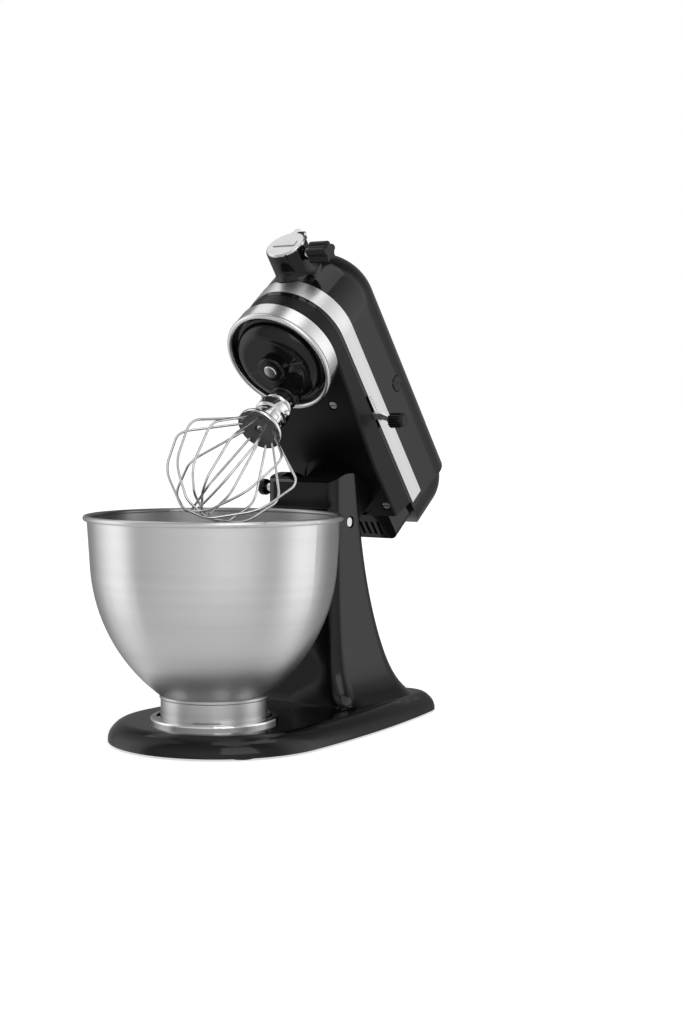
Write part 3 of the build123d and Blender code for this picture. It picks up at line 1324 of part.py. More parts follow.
def make_whisk():
    """Beater shaft with its cross pin and spring, and the wire whisk that hangs on it."""
    collar_top = beater_boss_bottom - spring_length
    collar_bottom = collar_top - collar_length
    plate_bottom = collar_bottom - whisk_plate_thickness
    shaft_bottom = collar_bottom + collar_floor
    pin_z = collar_bottom + sum(collar_flange_span) / 2
    pin_half = collar_flange_radius + bayonet_pin_proud
    pin_bore = across(bayonet_pin_radius + seat_fit, -beyond, beyond, 0, pin_z)
    place = Pos(beater_x, beater_y, 0)
    shaft = upright(beater_shaft_radius, shaft_bottom, pinion_top)
    shaft = chamfer(rim_edges(shaft, shaft_bottom), beater_tip_chamfer)
    add("beater_shaft", place * (shaft - pin_bore), on_head=True)
    pin = across(bayonet_pin_radius, -pin_half, pin_half, 0, pin_z)
    add("bayonet_pin", place * fillet(pin.edges(), bayonet_pin_round), on_head=True)
    spring_end = spring_wire + seat_fit
    spring = make_beater_spring(collar_top + spring_end, beater_boss_bottom - spring_end)
    add("beater_spring", place * spring, on_head=True)

    collar = make_collar(collar_bottom, collar_top)
    collar -= upright(beater_shaft_radius + seat_fit, shaft_bottom - cut_over, collar_top + cut_over)
    add("whisk_collar", place * (collar - pin_bore), on_head=True)
    plate = upright(whisk_plate_radius, plate_bottom, collar_bottom)
    plate -= upright(whisk_plate_hole, plate_bottom - cut_over, collar_bottom + cut_over)
    hole = upright(whisk_wire_radius + seat_fit, plate_bottom - cut_over, collar_bottom + cut_over,
                   whisk_ring_radius, 0)
    first = whisk_widest_angle - 90
    add("whisk_plate", place * cut(plate, ring_of(hole, 2 * whisk_loops, start=first)), on_head=True)
    add("whisk_wires", [place * whisk_loop(i, collar_bottom, plate_bottom) for i in range(whisk_loops)],
        on_head=True)


make_base()
make_column()
make_lock()
make_bowl_seat()
make_bowl()
make_gear_case()
make_upper_housing()
make_rear_cover()
make_drip_ring()
make_planetary()
make_drive()
make_armature()
make_stator()
make_hub()
make_speed_lever()
make_whisk()
os.makedirs("parts", exist_ok=True)
for name, shape in NODES.items():
    export_step(shape, f"parts/{name}.step")
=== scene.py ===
"""Looks of the tilt-head stand mixer: finishes, small fittings, light and camera.

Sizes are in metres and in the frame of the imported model. Places on the head are given as they are
with the head lowered and are then tilted up about the hinge.
"""
import json
from math import cos, pi, radians, sin

import bmesh
import bpy
from mathutils import Matrix, Vector


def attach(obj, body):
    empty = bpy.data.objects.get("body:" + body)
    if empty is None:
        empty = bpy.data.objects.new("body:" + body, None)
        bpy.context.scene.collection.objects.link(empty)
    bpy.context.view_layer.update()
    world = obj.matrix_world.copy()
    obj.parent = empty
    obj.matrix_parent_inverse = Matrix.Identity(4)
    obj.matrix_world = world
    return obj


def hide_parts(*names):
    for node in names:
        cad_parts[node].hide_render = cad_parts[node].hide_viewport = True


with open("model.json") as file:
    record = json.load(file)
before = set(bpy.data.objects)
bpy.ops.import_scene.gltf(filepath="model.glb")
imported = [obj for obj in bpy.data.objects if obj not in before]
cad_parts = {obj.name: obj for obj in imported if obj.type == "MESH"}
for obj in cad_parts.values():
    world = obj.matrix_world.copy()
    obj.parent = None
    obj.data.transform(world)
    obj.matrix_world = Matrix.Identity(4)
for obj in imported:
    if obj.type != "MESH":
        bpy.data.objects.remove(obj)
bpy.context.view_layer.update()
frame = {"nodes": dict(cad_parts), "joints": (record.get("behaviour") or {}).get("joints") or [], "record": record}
scene = bpy.context.scene
joints = {joint["name"]: joint for joint in frame["joints"]}
hinge = Vector(joints["head_tilt"]["pos_m"])
raise_angle = radians(joints["head_tilt"]["range_deg"][1])
head_turn = Matrix.Translation(hinge) @ Matrix.Rotation(-raise_angle, 4, "X") @ Matrix.Translation(-hinge)

# Camera of the photograph
camera_place = Vector((0.9489, -1.1891, 0.2819))
camera_aim = Vector((-0.5658, 0.8226, -0.0560))
camera_roll = radians(0.16)
camera_lens = 63.07
camera_sensor = 36.0

# Brightness of the room by the angle from the camera's side, with the right hand positive
room_turn = radians(34.52)
room_glow = [(-180, 0.18), (-140, 0.30), (-122, 0.75), (-104, 1.25), (-88, 1.25), (-74, 0.46), (-50, 0.60),
             (0, 0.82), (40, 0.68), (62, 0.50), (76, 0.90), (86, 1.25), (108, 1.20), (118, 0.50), (134, 0.25),
             (180, 0.18)]
room_roof = 0.55  # share of it that is left overhead
room_floor = 0.62
roof_rise = (0.35, 0.85)  # upward part of a direction where the sides go over to the roof
floor_rise = (-0.7, -0.25)  # upward part of a direction where the floor goes over to the sides

# Tall window behind the camera
window_turn = (2, 44)  # degrees from the camera's side to its edges
window_rise = (0.18, 0.86)  # upward part of the directions to its sill and its top
window_glow = 1.2
window_blur = 0.05

# Soft boxes as name, place, width, height and brightness, all aimed at the middle of the mixer
light_target = Vector((0.0, 0.07, 0.25))
soft_boxes = [("over_box", Vector((-0.9, 0.3, 1.6)), 0.9, 0.9, 0.8),
              ("key_box", Vector((0.57, 0.1, 2.2)), 1.6, 1.0, 0.9)]

# White table top and backdrop
white = (1.0, 1.0, 1.0, 1.0)
floor_reach = 40.0
floor_glow = 0.64

# Printed speed marks on the trim band, along the lever's travel
mark_count = 10
mark_width = 0.0006
mark_height = 0.0022
mark_thickness = 0.00006
mark_rise = 0.0026  # above the band's lower edge
mark_corner = 0.45  # share of the width
mark_corner_steps = 4
mark_group = 3  # marks from one long mark to the next
mark_stretch = 1.5  # of a long mark

# Turned fittings of the whisk, as radius and height: the rivet above the plate's underside, the collar's
# flared skirt above the plate's upper face and the sleeve over the spring above the collar
rivet_profile = [(0.0, 0.0007), (0.0011, 0.00075), (0.0022, 0.0010), (0.0030, 0.0014), (0.0034, 0.0019),
                 (0.0042, 0.0020), (0.0046, 0.0022), (0.0047, 0.0024), (0.0, 0.0024)]
skirt_profile = [(0.0120, 0.0062), (0.0134, 0.0062), (0.0150, 0.0056), (0.0172, 0.0042), (0.0194, 0.0028),
                 (0.0206, 0.0017), (0.0211, 0.0004), (0.0211, -0.0018), (0.0208, -0.0022), (0.0203, -0.0022),
                 (0.0202, -0.0018), (0.0202, 0.0002), (0.0120, 0.0002)]
sleeve_profile = [(0.0092, 0.0082), (0.0104, 0.0082), (0.0112, 0.0078), (0.0116, 0.0070), (0.0116, 0.0034),
                  (0.0119, 0.0026), (0.0126, 0.0022), (0.0129, 0.0016), (0.0129, -0.0006), (0.0124, -0.0012),
                  (0.0108, -0.0012), (0.0108, 0.0002), (0.0092, 0.0002)]
fitting_steps = 96

# Drip ring round the planetary: a plain wall that ends in a rolled bead below the case
ring_bead = 0.0024  # radius of the bead
ring_bead_drop = 0.0020  # of the bead's middle below the solid ring
ring_bead_inset = 0.0021  # of the bead's middle from the outer wall
ring_bead_start = 60.0  # degrees from straight out to where the bead leaves the wall
ring_bead_sweep = 240.0
ring_bead_steps = 16
ring_steps = 160

# Turned meshes
sharp_turn = radians(50)  # of a section, that stays a crisp edge
weld_reach = 1e-7

# Shader nodes
wave_length = 0.314  # of one band of the wave texture at a scale of 1
mix_sockets = {"FLOAT": (2, 3, 0), "RGBA": (6, 7, 2)}  # of the mix node: its two inputs and its output


def lowered_span(node, axis):
    """Least and greatest place of a node along an axis, with the head lowered."""
    piece = frame["nodes"][node]
    turn = head_turn.inverted() @ piece.matrix_world
    places = [(turn @ corner.co)[axis] for corner in piece.data.vertices]
    return min(places), max(places)


def grey(level):
    """Neutral colour."""
    return (level, level, level)


def shaded(color, share):
    """Colour made darker or lighter by a factor, up to white."""
    return tuple(min(1.0, share * part) for part in color)


def add_node(tree, kind, inputs=None, **settings):
    """New node with its settings and inputs set; a linked input is given as a socket."""
    node = tree.nodes.new(kind)
    for name, value in settings.items():
        setattr(node, name, value)
    for name, value in (inputs or {}).items():
        if isinstance(value, bpy.types.NodeSocket):
            tree.links.new(value, node.inputs[name])
        else:
            node.inputs[name].default_value = value
    return node


def maths(tree, operation, *values):
    """Result of a math node on sockets or numbers."""
    return add_node(tree, "ShaderNodeMath", dict(enumerate(values)), operation=operation).outputs[0]


def spread(tree, value, low, high, start=0.0, end=1.0):
    """Value from start to end stretched to run from low to high."""
    node = add_node(tree, "ShaderNodeMapRange", {"Value": value, "From Min": start, "From Max": end,
                                                 "To Min": low, "To Max": high})
    return node.outputs["Result"]


def blend(tree, factor, first, second, kind="FLOAT"):
    """Mix of two plain values or of two colours by a factor."""
    low, high, result = mix_sockets[kind]
    return add_node(tree, "ShaderNodeMix", {0: factor, low: first, high: second}, data_type=kind).outputs[result]


def new_group(name, inputs, outputs):
    """Empty shader node group with named sockets; returns its tree, its inputs and its outputs."""
    tree = bpy.data.node_groups.new(name, "ShaderNodeTree")
    for label, kind, value in inputs:
        socket = tree.interface.new_socket(label, in_out="INPUT", socket_type=kind)
        if value is not None:
            socket.default_value = value
    for label in outputs:
        kind = "NodeSocketVector" if label == "Place" else "NodeSocketFloat"
        tree.interface.new_socket(label, in_out="OUTPUT", socket_type=kind)
    entry = tree.nodes.new("NodeGroupInput")
    leave = tree.nodes.new("NodeGroupOutput")
    return tree, entry.outputs, leave.inputs


def make_wrap_group():
    """Places about an upright axis as angle, radius and height, so that marks run round a turned piece."""
    tree, given, result = new_group("wrap_round", [("Place", "NodeSocketVector", None)], ["Place"])
    parts = add_node(tree, "ShaderNodeSeparateXYZ", {"Vector": given["Place"]}).outputs
    angle = maths(tree, "ARCTAN2", parts["Y"], parts["X"])
    square = maths(tree, "ADD", maths(tree, "MULTIPLY", parts["X"], parts["X"]),
                   maths(tree, "MULTIPLY", parts["Y"], parts["Y"]))
    radius = maths(tree, "SQRT", square)
    joined = add_node(tree, "ShaderNodeCombineXYZ", {"X": angle, "Y": radius, "Z": parts["Z"]})
    tree.links.new(joined.outputs[0], result["Place"])
    return tree


def make_grain_group():
    """Even fine roughness, for moulded, cast and enamelled skins."""
    tree, given, result = new_group("fine_grain", [("Place", "NodeSocketVector", None),
                                                   ("Scale", "NodeSocketFloat", 900.0)], ["Height"])
    noise = add_node(tree, "ShaderNodeTexNoise", {"Vector": given["Place"], "Scale": given["Scale"],
                                                  "Detail": 2.0, "Roughness": 0.5})
    tree.links.new(noise.outputs["Fac"], result["Height"])
    return tree


def make_strokes_group():
    """Long thin strokes of a brushed or drawn metal; the strokes run along the first axis."""
    tree, given, result = new_group("brush_strokes", [("Place", "NodeSocketVector", None),
                                                      ("Along", "NodeSocketFloat", 6.0),
                                                      ("Across", "NodeSocketFloat", 3000.0)], ["Stroke", "Band"])
    size = add_node(tree, "ShaderNodeCombineXYZ", {"X": given["Along"], "Y": given["Across"],
                                                   "Z": given["Across"]})
    drawn = add_node(tree, "ShaderNodeVectorMath", {0: given["Place"], 1: size.outputs[0]}, operation="MULTIPLY")
    fine = add_node(tree, "ShaderNodeTexNoise", {"Vector": drawn.outputs[0], "Scale": 1.0, "Detail": 4.0,
                                                 "Roughness": 0.65})
    broad = add_node(tree, "ShaderNodeTexNoise", {"Vector": drawn.outputs[0], "Scale": 0.06, "Detail": 3.0})
    tree.links.new(fine.outputs["Fac"], result["Stroke"])
    tree.links.new(broad.outputs["Fac"], result["Band"])
    return tree


def make_haze_group():
    """Faint cloudy film of handling and polishing that dulls a gloss in places."""
    tree, given, result = new_group("handling_haze", [("Place", "NodeSocketVector", None),
                                                      ("Scale", "NodeSocketFloat", 18.0)], ["Haze"])
    cloud = add_node(tree, "ShaderNodeTexNoise", {"Vector": given["Place"], "Scale": given["Scale"],
                                                  "Detail": 5.0, "Roughness": 0.6, "Distortion": 0.8})
    tree.links.new(spread(tree, cloud.outputs["Fac"], 0.0, 1.0, start=0.45, end=0.75), result["Haze"])
    return tree


def make_inside_group():
    """Mask of the faces that look towards the upright axis, such as a bowl's inner wall; it places painted shade.
    """
    tree, given, result = new_group("inner_side", [("Place", "NodeSocketVector", None),
                                                   ("Facing", "NodeSocketVector", None)], ["Inside"])
    level = add_node(tree, "ShaderNodeVectorMath", {0: given["Place"], 1: (1.0, 1.0, 0.0)}, operation="MULTIPLY")
    outward = add_node(tree, "ShaderNodeVectorMath", {0: level.outputs[0], 1: given["Facing"]},
                       operation="DOT_PRODUCT")
    tree.links.new(maths(tree, "LESS_THAN", outward.outputs["Value"], 0.0), result["Inside"])
    return tree


wrap_round = make_wrap_group()
fine_grain = make_grain_group()
brush_strokes = make_strokes_group()
handling_haze = make_haze_group()
inner_side = make_inside_group()


class Finish:
    """A material under construction: its tree, its shader and the places on the piece."""

    def __init__(self, name, color, roughness, metallic=0.0, **constants):
        self.material = bpy.data.materials.new(name)
        self.material.use_nodes = True
        self.tree = self.material.node_tree
        self.shader = self.tree.nodes["Principled BSDF"]
        self.color = color
        self.roughness = roughness
        places = add_node(self.tree, "ShaderNodeTexCoord").outputs
        self.place = places["Object"]
        self.facing = places["Normal"]
        self.shader.inputs["Base Color"].default_value = (*color, 1.0)
        self.shader.inputs["Roughness"].default_value = roughness
        self.shader.inputs["Metallic"].default_value = metallic
        for label, value in constants.items():
            self.shader.inputs[label.replace("_", " ")].default_value = value

    def lowered(self):
        """Places in the head's own frame, as they are with the head lowered."""
        shift = add_node(self.tree, "ShaderNodeMapping", {"Vector": self.place,
                                                          "Rotation": (-raise_angle, 0.0, 0.0),
                                                          "Location": head_turn.translation},
                         vector_type="TEXTURE")
        return shift.outputs["Vector"]

    def effect(self, group, output, **inputs):
        """Output of a shared effect placed in this material."""
        return add_node(self.tree, "ShaderNodeGroup", inputs, node_tree=group).outputs[output]

    def bump(self, height, depth):
        """Relief of a given depth in metres."""
        node = add_node(self.tree, "ShaderNodeBump", {"Height": height, "Distance": depth, "Strength": 1.0})
        self.tree.links.new(node.outputs["Normal"], self.shader.inputs["Normal"])

    def rough(self, value, change):
        """Roughness that changes with a value about the finish's own."""
        result = spread(self.tree, value, self.roughness, self.roughness + change)
        self.tree.links.new(result, self.shader.inputs["Roughness"])

    def tint(self, value, other):
        """Base colour that goes over to another one with a value, on top of any tint before it."""
        base = self.shader.inputs["Base Color"]
        ground = base.links[0].from_socket if base.links else (*self.color, 1.0)
        self.tree.links.new(blend(self.tree, value, ground, (*other, 1.0), "RGBA"), base)


def gloss_enamel(name="black_enamel", roughness=0.07, shine=0.36):
    """Black stoved enamel: deep gloss with a faint orange peel."""
    finish = Finish(name, (0.003, 0.003, 0.0033), roughness, Specular_IOR_Level=shine)
    haze = finish.effect(handling_haze, "Haze", Place=finish.place, Scale=14.0)
    finish.rough(haze, change=0.05)
    finish.tint(haze, other=(0.006, 0.006, 0.0065))
    peel = finish.effect(fine_grain, "Height", Place=finish.place, Scale=420.0)
    finish.bump(peel, depth=0.00001)
    return finish.material


def brushed_round(name, color, roughness, anisotropy, on_head=False, inner_wall_shade=None):
    """Steel brushed round an upright axis, with painted shade: the faces that look towards the axis are darkened
    to a shade colour where one is given.
    """
    finish = Finish(name, color, roughness, metallic=1.0, Anisotropic=anisotropy, Anisotropic_Rotation=0.25)
    tangent = add_node(finish.tree, "ShaderNodeTangent", direction_type="RADIAL", axis="Z")
    finish.tree.links.new(tangent.outputs[0], finish.shader.inputs["Tangent"])
    place = finish.lowered() if on_head else finish.place
    round_place = finish.effect(wrap_round, "Place", Place=place)
    stroke = finish.effect(brush_strokes, "Stroke", Place=round_place, Along=5.0, Across=2600.0)
    band = finish.effect(brush_strokes, "Band", Place=round_place, Along=2.0, Across=1600.0)
    finish.tint(band, other=shaded(color, 0.82))
    # Painted shade: the faces that look towards the axis, such as a bowl's inner wall, go over to the darker shade
    # colour.
    if inner_wall_shade:
        finish.tint(finish.effect(inner_side, "Inside", Place=finish.place, Facing=finish.facing), other=inner_wall_shade)
    finish.rough(stroke, change=0.12)
    finish.bump(stroke, depth=0.000012)
    return finish.material


def polished_chrome(name="bright_chrome", color=(0.78, 0.78, 0.79), roughness=0.07):
    """Bright plated metal with a faint haze and fine polishing marks."""
    finish = Finish(name, color, roughness, metallic=1.0)
    haze = finish.effect(handling_haze, "Haze", Place=finish.place, Scale=40.0)
    finish.rough(haze, change=0.08)
    finish.tint(haze, other=shaded(color, 0.9))
    marks = finish.effect(fine_grain, "Height", Place=finish.place, Scale=2500.0)
    finish.bump(marks, depth=0.000004)
    return finish.material


def brushed_lengthwise():
    """Aluminium strip brushed along the head."""
    finish = Finish("trim_aluminium", grey(0.88), roughness=0.28, metallic=1.0)
    turn = add_node(finish.tree, "ShaderNodeMapping", {"Vector": finish.lowered(),
                                                       "Rotation": (0.0, 0.0, -pi / 2)})
    stroke = finish.effect(brush_strokes, "Stroke", Place=turn.outputs["Vector"], Along=40.0, Across=4200.0)
    band = finish.effect(brush_strokes, "Band", Place=turn.outputs["Vector"], Along=20.0, Across=3000.0)
    finish.tint(band, other=grey(0.74))
    finish.rough(stroke, change=0.14)
    finish.bump(stroke, depth=0.00001)
    return finish.material


def moulded(name, color, roughness, grain, depth, shine=0.5):
    """Moulded or pressed piece with an even fine grain."""
    finish = Finish(name, color, roughness, Specular_IOR_Level=shine)
    height = finish.effect(fine_grain, "Height", Place=finish.place, Scale=grain)
    haze = finish.effect(handling_haze, "Haze", Place=finish.place, Scale=60.0)
    finish.rough(haze, change=0.1)
    finish.tint(haze, other=shaded(color, 1.5))
    finish.bump(height, depth)
    return finish.material


def machined(name, color, roughness, across=1800.0):
    """Turned, drawn or cut metal with tool marks across the head's length."""
    finish = Finish(name, color, roughness, metallic=1.0)
    stroke = finish.effect(brush_strokes, "Stroke", Place=finish.lowered(), Along=60.0, Across=across)
    haze = finish.effect(handling_haze, "Haze", Place=finish.place, Scale=90.0)
    finish.tint(haze, other=shaded(color, 0.7))
    finish.rough(stroke, change=0.15)
    finish.bump(stroke, depth=0.00001)
    return finish.material


def layered(name, color, other, roughness, pitch, depth, metallic):
    """Stacked sheets or wound wire: even bands along the motor's axis."""
    finish = Finish(name, color, roughness, metallic)
    bands = add_node(finish.tree, "ShaderNodeTexWave", {"Vector": finish.lowered(), "Scale": wave_length / pitch,
                                                        "Distortion": 0.2}, bands_direction="Y")
    finish.tint(bands.outputs["Fac"], other)
    haze = finish.effect(handling_haze, "Haze", Place=finish.place, Scale=70.0)
    finish.rough(haze, change=0.15)
    finish.bump(bands.outputs["Fac"], depth)
    return finish.material


def printed_ink():
    """Dark printing ink, slightly worn."""
    finish = Finish("printed_ink", (0.02, 0.02, 0.021), roughness=0.5)
    worn = finish.effect(handling_haze, "Haze", Place=finish.place, Scale=400.0)
    finish.tint(worn, other=(0.05, 0.05, 0.052))
    finish.rough(worn, change=0.15)
    return finish.material


# Finish of each material slot, and of the nodes that differ from their slot
finishes = {
    "black_enamel": gloss_enamel(),
    # Painted shade: the bowl's inner wall is tinted a darker grey than its outside.
    "bowl_steel": brushed_round("bowl_steel", grey(0.80), roughness=0.27, anisotropy=0.75, inner_wall_shade=grey(0.42)),
    "bright_chrome": polished_chrome(),
    "trim_aluminium": brushed_lengthwise(),
    "black_plastic": moulded("black_plastic", (0.004, 0.004, 0.0044), roughness=0.2, grain=1500.0, depth=0.00001,
                             shine=0.3),
    "foot_rubber": moulded("foot_rubber", grey(0.012), roughness=0.7, grain=900.0, depth=0.00006),
    "fastener_steel": machined("fastener_steel", (0.58, 0.58, 0.57), roughness=0.25),
    "whisk_steel": machined("whisk_steel", (0.72, 0.72, 0.71), roughness=0.16, across=2600.0),
    "whisk_grey": moulded("whisk_grey", (0.075, 0.075, 0.078), roughness=0.45, grain=1100.0, depth=0.00005),
    "gear_steel": machined("gear_steel", grey(0.42), roughness=0.3),
    "bushing_bronze": machined("bushing_bronze", (0.56, 0.36, 0.16), roughness=0.35),
    "motor_iron": layered("motor_iron", (0.2, 0.2, 0.21), (0.08, 0.08, 0.085), roughness=0.45, pitch=0.0007,
                          depth=0.00006, metallic=0.8),
    "winding_copper": layered("winding_copper", (0.5, 0.2, 0.07), (0.2, 0.07, 0.02), roughness=0.3, pitch=0.0009,
                              depth=0.0003, metallic=0.7),
    "brush_carbon": moulded("brush_carbon", (0.02, 0.02, 0.021), roughness=0.55, grain=1300.0, depth=0.00005),
    "fan_plastic": moulded("fan_plastic", (0.03, 0.03, 0.032), roughness=0.45, grain=1000.0, depth=0.00004),
}
special = {
    "drip_ring": brushed_round("drip_ring_satin", grey(0.88), roughness=0.2, anisotropy=0.4, on_head=True),
    "bowl_clamp_plate": polished_chrome("clamp_plate_polish", grey(0.86), roughness=0.05),
    "speed_lever": polished_chrome("lever_satin", grey(0.95), roughness=0.45),
    "hub_cover": polished_chrome("cover_polish", (0.72, 0.72, 0.73), roughness=0.05),
    "gear_case": gloss_enamel("case_enamel", roughness=0.34, shine=0.22),
    "beater_bushing": machined("dark_bushing", (0.30, 0.28, 0.25), roughness=0.4),
    "bowl_foot_band": brushed_round("foot_band_steel", grey(0.62), roughness=0.3, anisotropy=0.6),
}


def dress_nodes():
    """Give every node its finish."""
    for part in frame["record"]["subparts"]:
        node = frame["nodes"][part["node"]]
        node.data.materials.clear()
        node.data.materials.append(special.get(part["node"], finishes[part["material_slot"]]))


def add_piece(name, mesh, body, slot, *covered):
    """Put a finished mesh in the scene on one of the bodies, in place of the nodes that it covers."""
    piece = bpy.data.objects.new(name, mesh)
    scene.collection.objects.link(piece)
    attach(piece, body)
    if covered:
        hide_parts(*covered)


def grown_mesh(name, tree, inputs):
    """Mesh made by a geometry node tree with its named inputs set."""
    seed = bpy.data.objects.new(name, bpy.data.meshes.new(name))
    scene.collection.objects.link(seed)
    modifier = seed.modifiers.new(name, "NODES")
    modifier.node_group = tree
    for socket in tree.interface.items_tree:
        if socket.in_out == "INPUT" and socket.name in inputs:
            modifier[socket.identifier] = inputs[socket.name]
    bpy.context.view_layer.update()
    made = seed.evaluated_get(bpy.context.evaluated_depsgraph_get())
    mesh = bpy.data.meshes.new_from_object(made)
    mesh.name = name
    bpy.data.objects.remove(seed)
    return mesh


def make_marks_tree():
    """Row of thin round-cornered bars, with a longer one at the start of each group."""
    tree = bpy.data.node_groups.new("mark_row", "GeometryNodeTree")
    for label, kind in (("Count", "NodeSocketInt"), ("Step", "NodeSocketFloat"), ("Width", "NodeSocketFloat"),
                        ("Height", "NodeSocketFloat"), ("Thickness", "NodeSocketFloat"),
                        ("Ink", "NodeSocketMaterial")):
        tree.interface.new_socket(label, in_out="INPUT", socket_type=kind)
    tree.interface.new_socket("Marks", in_out="OUTPUT", socket_type="NodeSocketGeometry")
    given = tree.nodes.new("NodeGroupInput").outputs
    step = add_node(tree, "ShaderNodeCombineXYZ", {"Y": given["Step"]})
    row = add_node(tree, "GeometryNodeMeshLine", {"Count": given["Count"], "Offset": step.outputs[0]})
    outline = add_node(tree, "GeometryNodeCurvePrimitiveQuadrilateral", {"Width": given["Width"],
                                                                         "Height": given["Height"]})
    corner = maths(tree, "MULTIPLY", given["Width"], mark_corner)
    rounded = add_node(tree, "GeometryNodeFilletCurve", {"Curve": outline.outputs["Curve"],
                                                         "Count": mark_corner_steps, "Radius": corner},
                       mode="POLY")
    face = add_node(tree, "GeometryNodeFillCurve", {"Curve": rounded.outputs["Curve"]}, mode="NGONS")
    raised = add_node(tree, "GeometryNodeExtrudeMesh", {"Mesh": face.outputs["Mesh"],
                                                        "Offset Scale": given["Thickness"]})
    index = add_node(tree, "GeometryNodeInputIndex").outputs["Index"]
    place_in_group = maths(tree, "MODULO", index, float(mark_group))
    stretch = spread(tree, place_in_group, mark_stretch, 1.0)
    size = add_node(tree, "ShaderNodeCombineXYZ", {"X": 1.0, "Y": stretch, "Z": 1.0})
    placed = add_node(tree, "GeometryNodeInstanceOnPoints", {"Points": row.outputs["Mesh"],
                                                             "Instance": raised.outputs["Mesh"],
                                                             "Rotation": (pi / 2, 0.0, pi / 2),
                                                             "Scale": size.outputs[0]})
    real = add_node(tree, "GeometryNodeRealizeInstances", {"Geometry": placed.outputs["Instances"]})
    inked = add_node(tree, "GeometryNodeSetMaterial", {"Geometry": real.outputs["Geometry"],
                                                       "Material": given["Ink"]})
    tree.links.new(inked.outputs["Geometry"], tree.nodes.new("NodeGroupOutput").inputs["Marks"])
    return tree


def make_speed_marks():
    """Printed scale beside the speed lever."""
    first, last = joints["speed_slide"]["range_m"]
    mesh = grown_mesh("speed_marks", make_marks_tree(), {"Count": mark_count,
                                                         "Step": (last - first) / (mark_count - 1),
                                                         "Width": mark_width, "Height": mark_height,
                                                         "Thickness": mark_thickness, "Ink": printed_ink()})
    band_face = lowered_span("trim_band", 0)[1]
    lever_middle = sum(lowered_span("speed_lever", 1)) / 2
    row_height = lowered_span("trim_band", 2)[0] + mark_rise
    mesh.transform(head_turn @ Matrix.Translation((band_face, lever_middle + first, row_height)))
    add_piece("speed_marks", mesh, "head", "black_plastic")


def lathe_mesh(name, profile, material, steps):
    """Closed turned mesh from the outline of its section as radius and height."""
    solid = bmesh.new()
    rows = []
    for i in range(steps):
        turn = Matrix.Rotation(2 * pi * i / steps, 3, "Z")
        rows.append([solid.verts.new(turn @ Vector((radius, 0.0, height))) for radius, height in profile])
    for i in range(steps):
        for k in range(len(profile)):
            face = [rows[i - 1][k - 1], rows[i - 1][k], rows[i][k], rows[i][k - 1]]
            solid.faces.new(face).smooth = True
    bmesh.ops.remove_doubles(solid, verts=solid.verts, dist=weld_reach)
    bmesh.ops.recalc_face_normals(solid, faces=solid.faces)
    mesh = bpy.data.meshes.new(name)
    solid.to_mesh(mesh)
    solid.free()
    mesh.materials.append(material)
    mesh.set_sharp_from_angle(angle=sharp_turn)
    return mesh


def make_whisk_fittings():
    """Rivet in the plate's hole, and the collar's flared skirt and sleeve."""
    axis = head_turn.inverted() @ Vector(joints["beater_spin"]["pos_m"])
    plate_bottom, plate_top = lowered_span("whisk_plate", 2)
    collar_top = lowered_span("whisk_collar", 2)[1]
    for name, profile, height in (("plate_rivet", rivet_profile, plate_bottom),
                                  ("collar_skirt", skirt_profile, plate_top),
                                  ("collar_sleeve", sleeve_profile, collar_top)):
        mesh = lathe_mesh(name, profile, finishes["bright_chrome"], fitting_steps)
        mesh.transform(head_turn @ Matrix.Translation((axis.x, axis.y, height)))
        add_piece(name, mesh, "whisk", "bright_chrome")


def make_drip_ring():
    """Rolled steel ring whose bead stands proud of the head's underside."""
    bottom, top = lowered_span("drip_ring", 2)
    outer = lowered_span("drip_ring", 0)[1]
    inner = outer - 2 * ring_bead
    profile = [(inner, bottom), (inner, top), (outer, top), (outer, bottom)]
    for i in range(ring_bead_steps + 1):
        angle = radians(ring_bead_start - ring_bead_sweep * i / ring_bead_steps)
        radius = outer - ring_bead_inset + ring_bead * cos(angle)
        profile.append((radius, bottom - ring_bead_drop + ring_bead * sin(angle)))
    mesh = lathe_mesh("rolled_drip_ring", profile, special["drip_ring"], ring_steps)
    mesh.transform(head_turn)
    add_piece("rolled_drip_ring", mesh, "head", "bright_chrome", "drip_ring")


def make_camera():
    """Camera at the photograph's viewing angle."""
    data = bpy.data.cameras.new("photo_camera")
    data.lens = camera_lens
    data.sensor_width = camera_sensor
    camera = bpy.data.objects.new("photo_camera", data)
    scene.collection.objects.link(camera)
    turn = camera_aim.to_track_quat("-Z", "Y").to_matrix().to_4x4() @ Matrix.Rotation(camera_roll, 4, "Z")
    camera.matrix_world = Matrix.Translation(camera_place) @ turn
    scene.camera = camera


def make_floor():
    """Large white table top that keeps a soft shadow under the base."""
    finish = Finish("floor_white", grey(0.92), roughness=0.8)
    cloud = finish.effect(fine_grain, "Height", Place=finish.place, Scale=3.0)
    finish.tint(cloud, other=grey(0.9))
    finish.shader.inputs["Emission Color"].default_value = white
    finish.shader.inputs["Emission Strength"].default_value = floor_glow
    mesh = bpy.data.meshes.new("floor")
    corners = [(-floor_reach, -floor_reach, 0), (floor_reach, -floor_reach, 0),
               (floor_reach, floor_reach, 0), (-floor_reach, floor_reach, 0)]
    mesh.from_pydata(corners, [], [(0, 1, 2, 3)])
    mesh.materials.append(finish.material)
    floor = bpy.data.objects.new("floor", mesh)
    floor.visible_glossy = False
    scene.collection.objects.link(floor)


def make_softbox(name, place, width, height, glow):
    """Soft rectangular studio light whose face has a given brightness."""
    data = bpy.data.lights.new(name, "AREA")
    data.shape = "RECTANGLE"
    data.size = width
    data.size_y = height
    data.energy = glow * pi * width * height
    light = bpy.data.objects.new(name, data)
    scene.collection.objects.link(light)
    aim = (light_target - place).to_track_quat("-Z", "Y")
    light.matrix_world = Matrix.Translation(place) @ aim.to_matrix().to_4x4()


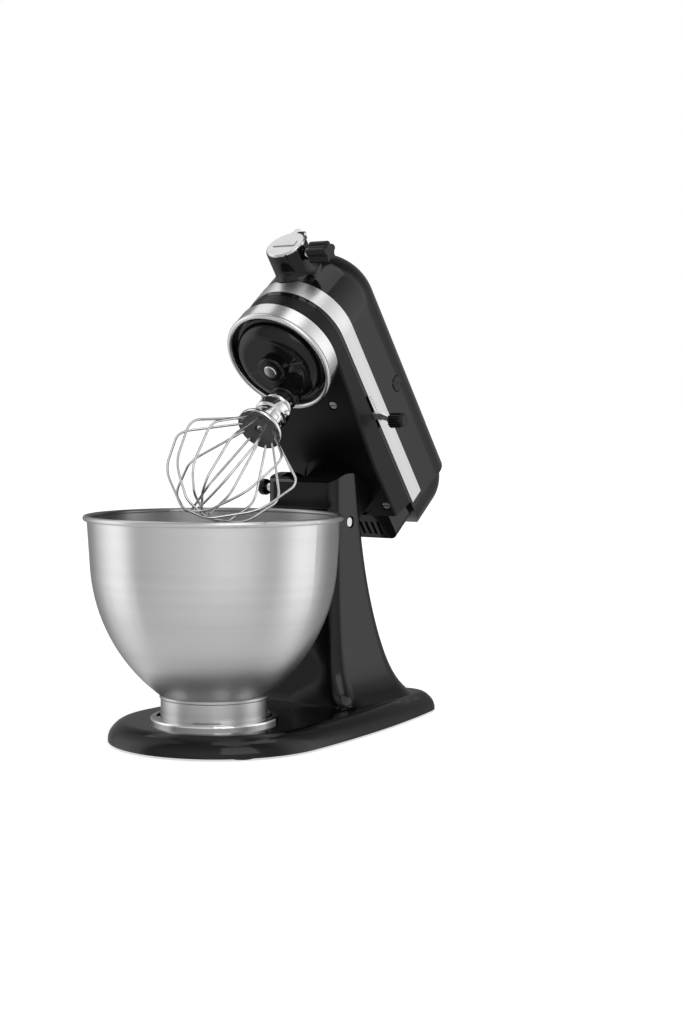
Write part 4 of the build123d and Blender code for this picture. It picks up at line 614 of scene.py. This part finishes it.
def make_surround():
    """White studio for the eye; reflections see a grey room with bright panels at the sides and a window."""
    world = bpy.data.worlds.new("studio")
    world.use_nodes = True
    tree = world.node_tree
    outlook = add_node(tree, "ShaderNodeTexCoord").outputs["Generated"]
    direction = add_node(tree, "ShaderNodeMapping", {"Vector": outlook, "Rotation": (0.0, 0.0, -room_turn)})
    parts = add_node(tree, "ShaderNodeSeparateXYZ", {"Vector": direction.outputs["Vector"]}).outputs
    angle = maths(tree, "ARCTAN2", parts["X"], maths(tree, "MULTIPLY", parts["Y"], -1.0))
    ramp = add_node(tree, "ShaderNodeValToRGB", {"Fac": spread(tree, angle, 0.0, 1.0, -pi, pi)})
    stops = ramp.color_ramp.elements
    for stop in list(stops)[1:]:
        stops.remove(stop)
    stops[0].position = 0.0
    for i, (degrees, glow) in enumerate(room_glow):
        stop = stops[0] if i == 0 else stops.new((degrees + 180.0) / 360.0)
        stop.color = (*grey(glow), 1.0)
    fade = spread(tree, parts["Z"], 1.0, room_roof, *roof_rise)
    side = maths(tree, "MULTIPLY", ramp.outputs["Color"], fade)
    window = window_glow
    for value, (start, end) in ((angle, map(radians, window_turn)), (parts["Z"], window_rise)):
        rising = spread(tree, value, 0.0, 1.0, start, start + window_blur)
        falling = spread(tree, value, 1.0, 0.0, end - window_blur, end)
        window = maths(tree, "MULTIPLY", window, maths(tree, "MULTIPLY", rising, falling))
    side = maths(tree, "ADD", side, window)
    low = spread(tree, parts["Z"], 1.0, 0.0, *floor_rise)
    backdrop = tree.nodes["Background"]
    backdrop.inputs["Color"].default_value = white
    tree.links.new(blend(tree, low, side, room_floor), backdrop.inputs["Strength"])
    seen = add_node(tree, "ShaderNodeBackground", {"Color": white, "Strength": 1.0})
    path = add_node(tree, "ShaderNodeLightPath")
    mix = add_node(tree, "ShaderNodeMixShader", {0: path.outputs["Is Camera Ray"], 1: backdrop.outputs[0],
                                                 2: seen.outputs[0]})
    tree.links.new(mix.outputs[0], tree.nodes["World Output"].inputs["Surface"])
    scene.world = world


def make_light():
    """Grey room, a panel over the left shoulder for the bright tops and a weak key for the shadow."""
    make_surround()
    for box in soft_boxes:
        make_softbox(*box)


dress_nodes()
make_speed_marks()
make_whisk_fittings()
make_drip_ring()
make_camera()
make_floor()
make_light()
scene.view_settings.view_transform = "Standard"
